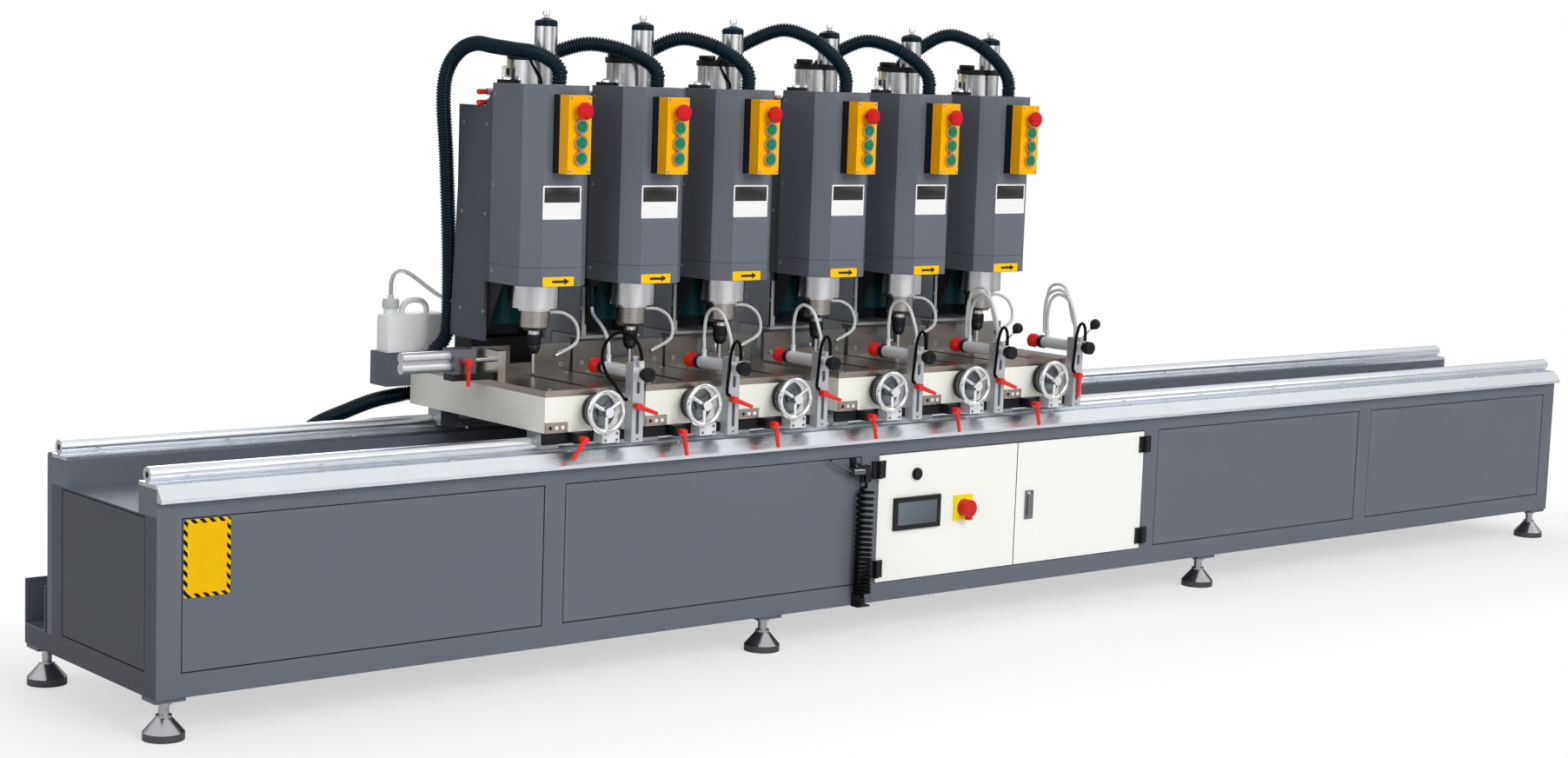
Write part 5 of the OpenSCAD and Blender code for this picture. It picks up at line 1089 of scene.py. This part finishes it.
# Plates on the cover's front: outline's centre, half sizes and corner
PLATE_FACE, PLATE_BACK, PRINT_FACE, PRINT_BACK = 141.3, 142.1, 141.0, 141.5
LABEL_PLATE, ARROW_PLATE = ((-3.5, 1097), (53.5, 39), 3), ((-8.5, 914), (43.5, 11), 2)
BAND_LEFT, BAND_RIGHT, BAND_LOW, BAND_HIGH = -53, 46, 1097, 1132
ARROW = [(-26, 911), (8, 911), (8, 906), (22, 914), (8, 922), (8, 917), (-26, 917)]
HEAD_SCREWS = (
    [((x, 82.8, z), FORWARD) for x in (-26, 26) for z in (1171, 1339)]
    + [((89.8 * way[0], y, z), way) for way in (LEFT, RIGHT) for y in (330, 430) for z in (830, 1060, 1270)]
    + [((-93.2, 292, z), LEFT) for z in (930, 1130, 1340)])


def add_nozzle(head):
    """Fittings at the two ends of the coolant tube."""
    x, y, z = COOLANT_ROUTE[0]
    head.rod((x - COOLANT_FITTING_LONG, y, z), (x, y, z), NOZZLE_D, ZINC)
    tip = Vector(COOLANT_ROUTE[-1])
    way = (tip - Vector(COOLANT_ROUTE[-3])).normalized()
    head.rod(tip - way * NOZZLE_BACK, tip + way * NOZZLE_LONG, NOZZLE_D, ZINC, 1, end_d=NOZZLE_TIP_D)


def add_plates(head):
    """Label plate with a black band and arrow plate with its arrow, as thin pieces on the cover."""
    head.plate(rounded(*LABEL_PLATE), "y", PLATE_FACE, PLATE_BACK, LABEL_WHITE)
    head.box((BAND_LEFT, PRINT_FACE, BAND_LOW), (BAND_RIGHT, PRINT_BACK, BAND_HIGH), LABEL_BLACK, 0.1)
    head.plate(rounded(*ARROW_PLATE), "y", PLATE_FACE, PLATE_BACK, PLATE_YELLOW)
    head.plate(ARROW, "y", PRINT_FACE, PRINT_BACK, LABEL_BLACK)


def dress_head(n):
    here, body = spindle(n), f"head_{n}"
    head = Piece(here)
    foot = BLACK_PAINT if n == 1 else PALE_PAINT
    head.carry(f"head_{n}", [(foot, *COLUMN_FOOT, 1.5)] + HEAD_RULES, HEAD_SHADE_PAINT, 1.5)
    head.lathe(CHECK_CAP_PLACE, UP, CHECK_CAP, CONDUIT_BLACK)
    head.lathe(NIPPLE_PLACE, UP, NIPPLE, TURNED_STEEL)
    add_nozzle(head)
    head.rod(*CAP_PLUG)
    for z in VALVE_HEIGHTS:
        head.rod((-56, VALVE_Y, z), (-72, VALVE_Y, z), 17, ZINC, 1.5)
        head.rod((-70, VALVE_Y, z), (-98, VALVE_Y, z - 1), 12, RED_PLASTIC, 2.5, end_d=13)
    if n in FITTING_HEADS:
        for fitting in SIDE_FITTINGS:
            head.rod(*fitting)
    if n > 1:
        for sheet in COLUMN_SHEETS:
            head.box(*sheet)
    if n == 2:
        head.rod(*HOSE_FITTING)
    head.plate(BACK_COVERS[n > 1], "x", -BACK_COVER_HALF, BACK_COVER_HALF, HEAD_SHADE_PAINT, 1)
    head.box(*BACK_PLATE)
    add_plates(head)
    head.done(f"head_{n}_dressed", body, "head_paint", f"head_{n}")
    if n in SENSOR_HEADS:
        tube(f"sensor_cable_{n}", here, body, "hose_plastic", SENSOR_ROUTE, 3, HOSE_BLACK, 6)
    tube(f"coolant_tube_{n}", here, body, "hose_plastic", COOLANT_ROUTE, 4, TUBE_WHITE)
    screws(f"head_{n}_screws", here, body, "head_paint", HEAD_SCREWS, 7, 2, ZINC)


SPINDLE_Y = 250
# Bottom, top, diameter and rounding of the spindle, its collar and the drill
SPINDLE_RODS = [(770, 1021, 24, 0.8), (780, 791, 30, 1), (690, 740, 8, 0)]
CHUCK_SLEEVE = [(16, 0), (17.2, 1.5), (17.6, 24), (16.5, 26)]
CHUCK_JAWS = [(9, 0), (14.5, 6), (16.8, 14), (16.8, 19.2)]
SLEEVE_Z, JAWS_Z = 754.2, 735.2
# Bars that stand upright, and bars that lie along the depth
UPRIGHT, LYING = (0, 0, 0), (pi / 2, 0, 0)
# Bars round an axis: count, radius, size of a bar, centre, turn and finish
CHUCK_KNURL = (36, 17.4, (0.9, 1.2, 19), (0, SPINDLE_Y, 767.5), UPRIGHT, BLACK_PLASTIC)
DIAL_MARKS = (50, 38.8, (0.6, 0.8, 7), (0, -24, 633.15), LYING, MARK_WHITE)
WHEEL_RULES = [(DIAL_STEEL, (-40, -30.4, 593), (40, -29.5, 673), 0, True),
               (BLACK_PAINT, (-40, -31, 593), (40, -7, 673), 1.5)]
CLAMP_ROD_RULES = [(RED_PLASTIC, (73, 100, 698), (111, 132, 736), 4)]


def dress_spindle(n):
    """The small moving pieces of a station."""
    here = spindle(n)

    def whole(part, slot, finish, rounding, rules=()):
        dressed(f"{part}_{n}_dressed", here, f"{part}_{n}", slot, f"{part}_{n}", finish, rounding, rules)

    whole("quill", "ground_steel", QUILL_STEEL, 0)
    chuck = Piece(here)
    for low, high, d, rounding in SPINDLE_RODS:
        chuck.rod((0, SPINDLE_Y, low), (0, SPINDLE_Y, high), d, TURNED_STEEL, rounding)
    chuck.lathe((0, SPINDLE_Y, SLEEVE_Z), UP, CHUCK_SLEEVE, BLACK_PLASTIC, 0.3)
    chuck.lathe((0, SPINDLE_Y, JAWS_Z), UP, CHUCK_JAWS, DARK_STEEL, 0.3)
    chuck.done(f"chuck_{n}_dressed", f"chuck_{n}", "ground_steel", f"chuck_{n}")
    bars(f"chuck_{n}_knurl", here, f"chuck_{n}", "ground_steel", *CHUCK_KNURL)
    whole("handwheel", "chrome", CHROME, 1.5, WHEEL_RULES)
    bars(f"handwheel_{n}_marks", here, f"handwheel_{n}", "chrome", *DIAL_MARKS)
    whole("clamp_rod", "ground_steel", TURNED_ALONG, 0.8, CLAMP_ROD_RULES)
    whole("stop_button", "red_plastic", STOP_RED, 2)


CAP_X, CAP_Y, CAP_Z, NECK_Z = -171, 610, 813, 800
CAP_RIBS = (24, 20, (1.2, 1.6, 17), (CAP_X, CAP_Y, 823.5), UPRIGHT, TUBE_WHITE)
CAN_BODY = ((-195, 580, 631), (-25, 640, 801), TANK_PLASTIC, 11)
CAN_RULES = [(BED_PAINT, (-204, 571, 627), (-16, 648, 711), 1)]
CAN_HOSE_D, CAN_HANDLE_D, CAN_HANDLE_SIDES = 10, 14, 18
# Points of the hose's route between which it passes from the table to the head; nothing bends it there
CAN_BEND_FIRST, CAN_BEND_LAST = CAN_ROUTE[3], CAN_ROUTE[8]
CAN_NECK = [(17, 0), (17, 13), (15, 14)]
CAN_CAP = [(19, 0), (20, 2), (20, 20), (17, 25), (8, 26), (6, 34), (0, 34)]


def dress_coolant_can():
    here, body = spindle(1), "carriage_1"
    can = Piece(here)
    can.carry("coolant_tank", CAN_RULES, None)
    can.box(*CAN_BODY)
    can.lathe((CAP_X, CAP_Y, NECK_Z), UP, CAN_NECK, TANK_PLASTIC)
    can.lathe((CAP_X, CAP_Y, CAP_Z), UP, CAN_CAP, TUBE_WHITE, 0.6)
    can.done("coolant_can", body, "tank_plastic", "coolant_tank")
    bars("can_cap_ribs", here, body, "tank_plastic", *CAP_RIBS)
    tube("can_handle", here, body, "tank_plastic", CAN_HANDLE, 3, TANK_PLASTIC, CAN_HANDLE_D,
         CAN_HANDLE_SIDES)
    feed = hose("coolant_hose", here, evenly(curve(CAN_ROUTE), 4), TUBE_CLEAR, CAN_HOSE_D)
    metres(here, CAN_BEND_FIRST)
    metres(here, CAN_BEND_LAST)
    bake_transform(feed)


dress_bed()
dress_cabinet()
for number in STATIONS:
    dress_table(number)
    dress_head(number)
    dress_spindle(number)
dress_coolant_can()


# Studio, in metres and watts
# What the surroundings shine with: towards dull surfaces, and in mirrored rays from low to high
SOFT_LEVEL, GLOSS_LOW, GLOSS_HIGH, BOX_LEVEL = 0.40, 0.22, 1.0, 0.9
GLOSS_FROM, GLOSS_TO = 0.10, 0.60
# Upright softboxes: the way to each, and how close to it a ray meets its edge and its full light
SOFTBOXES = [(-0.15, -0.99, 0.80, 0.93), (-0.97, 0.20, 0.80, 0.93), (0.94, -0.34, 0.93, 0.97)]
# Lamps: place, aim, size and power
LAMPS = [("front_light", (-1.0, -7.0, 4.5), (0, 0, 0.7), 4.0, 320),
         ("right_light", (5.0, -4.5, 3.5), (0.5, 0, 0.7), 3.0, 65),
         ("left_light", (-6.5, -1.5, 3.0), (-1, 0, 0.8), 3.0, 50),
         ("back_light", (1.5, 6.5, 3.5), (0, 0, 0.6), 4.0, 150)]


def set_light():
    world = bpy.data.worlds.new("studio")
    bpy.context.scene.world = world
    world.use_nodes = True
    graph = Graph(world.node_tree)
    shader = world.node_tree.nodes["Background"]
    rays = graph.node("ShaderNodeLightPath").socket.node.outputs
    camera = Flow(graph, rays["Is Camera Ray"])
    mirrored = Flow(graph, rays["Is Glossy Ray"]).larger(Flow(graph, rays["Is Transmission Ray"]))
    way = graph.node("ShaderNodeSeparateXYZ", sockets={0: graph.node("ShaderNodeTexCoord")})
    east, north, height = [Flow(graph, socket) for socket in way.socket.node.outputs]
    seen = graph.node("ShaderNodeMapRange", sockets={
        0: height, 1: GLOSS_FROM, 2: GLOSS_TO, 3: GLOSS_LOW, 4: GLOSS_HIGH})
    for x, y, edge, full in SOFTBOXES:
        seen = seen.larger(graph.node("ShaderNodeMapRange", sockets={
            0: east * x + north * y, 1: edge, 2: full, 3: GLOSS_LOW, 4: BOX_LEVEL}))
    plain = mirrored * seen + (1 - mirrored) * SOFT_LEVEL
    shader.inputs["Color"].default_value = (1, 1, 1, 1)
    graph.feed(shader.inputs["Strength"], camera + (1 - camera) * plain)
    for name, place, aim, size, power in LAMPS:
        lamp = bpy.data.lights.new(name, "AREA")
        lamp.energy, lamp.size = power, size
        light = bpy.data.objects.new(name, lamp)
        bpy.context.scene.collection.objects.link(light)
        light.location = place
        light.rotation_euler = (Vector(aim) - Vector(place)).to_track_quat("-Z", "Y").to_euler()


FLOOR_REACH = 30
# The floor shines by itself, least under the machine and fully at a distance from it
MACHINE_HALF_DEEP, GLOW_LEAST, GLOW_FULL_AT = 0.35, 0.58, 0.7


def lay_floor():
    mesh = bpy.data.meshes.new("floor")
    corners = [(-1, -1), (1, -1), (1, 1), (-1, 1)]
    mesh.from_pydata([(x * FLOOR_REACH, y * FLOOR_REACH, 0) for x, y in corners], [], [(0, 1, 2, 3)])
    floor = bpy.data.objects.new("floor", mesh)
    bpy.context.scene.collection.objects.link(floor)
    f = Finish("pale_floor")
    f.set(Base_Color=f.between(f.noise(0.7, 2), screen(247, 247, 247), screen(252, 252, 252)), Roughness=0.9)
    rays = f.node("ShaderNodeLightPath").socket.node.outputs
    away = (f.axis(0).size() - BED_LENGTH / 2 * MM).larger(f.axis(1).size() - MACHINE_HALF_DEEP)
    fade = f.narrow(away, 0.0, GLOW_FULL_AT) * (1 - GLOW_LEAST) + GLOW_LEAST
    glow = f.node("ShaderNodeEmission", sockets={"Color": (1, 1, 1, 1), "Strength": 1.0})
    mixed = f.node("ShaderNodeMixShader", sockets={
        0: fade * Flow(f, rays["Is Camera Ray"]), 1: Flow(f, f.shader.outputs[0]), 2: glow})
    f.feed(f.tree.nodes["Material Output"].inputs["Surface"], mixed)
    mesh.materials.append(f.material)


set_light()
lay_floor()
bpy.context.scene.view_settings.view_transform = "Standard"
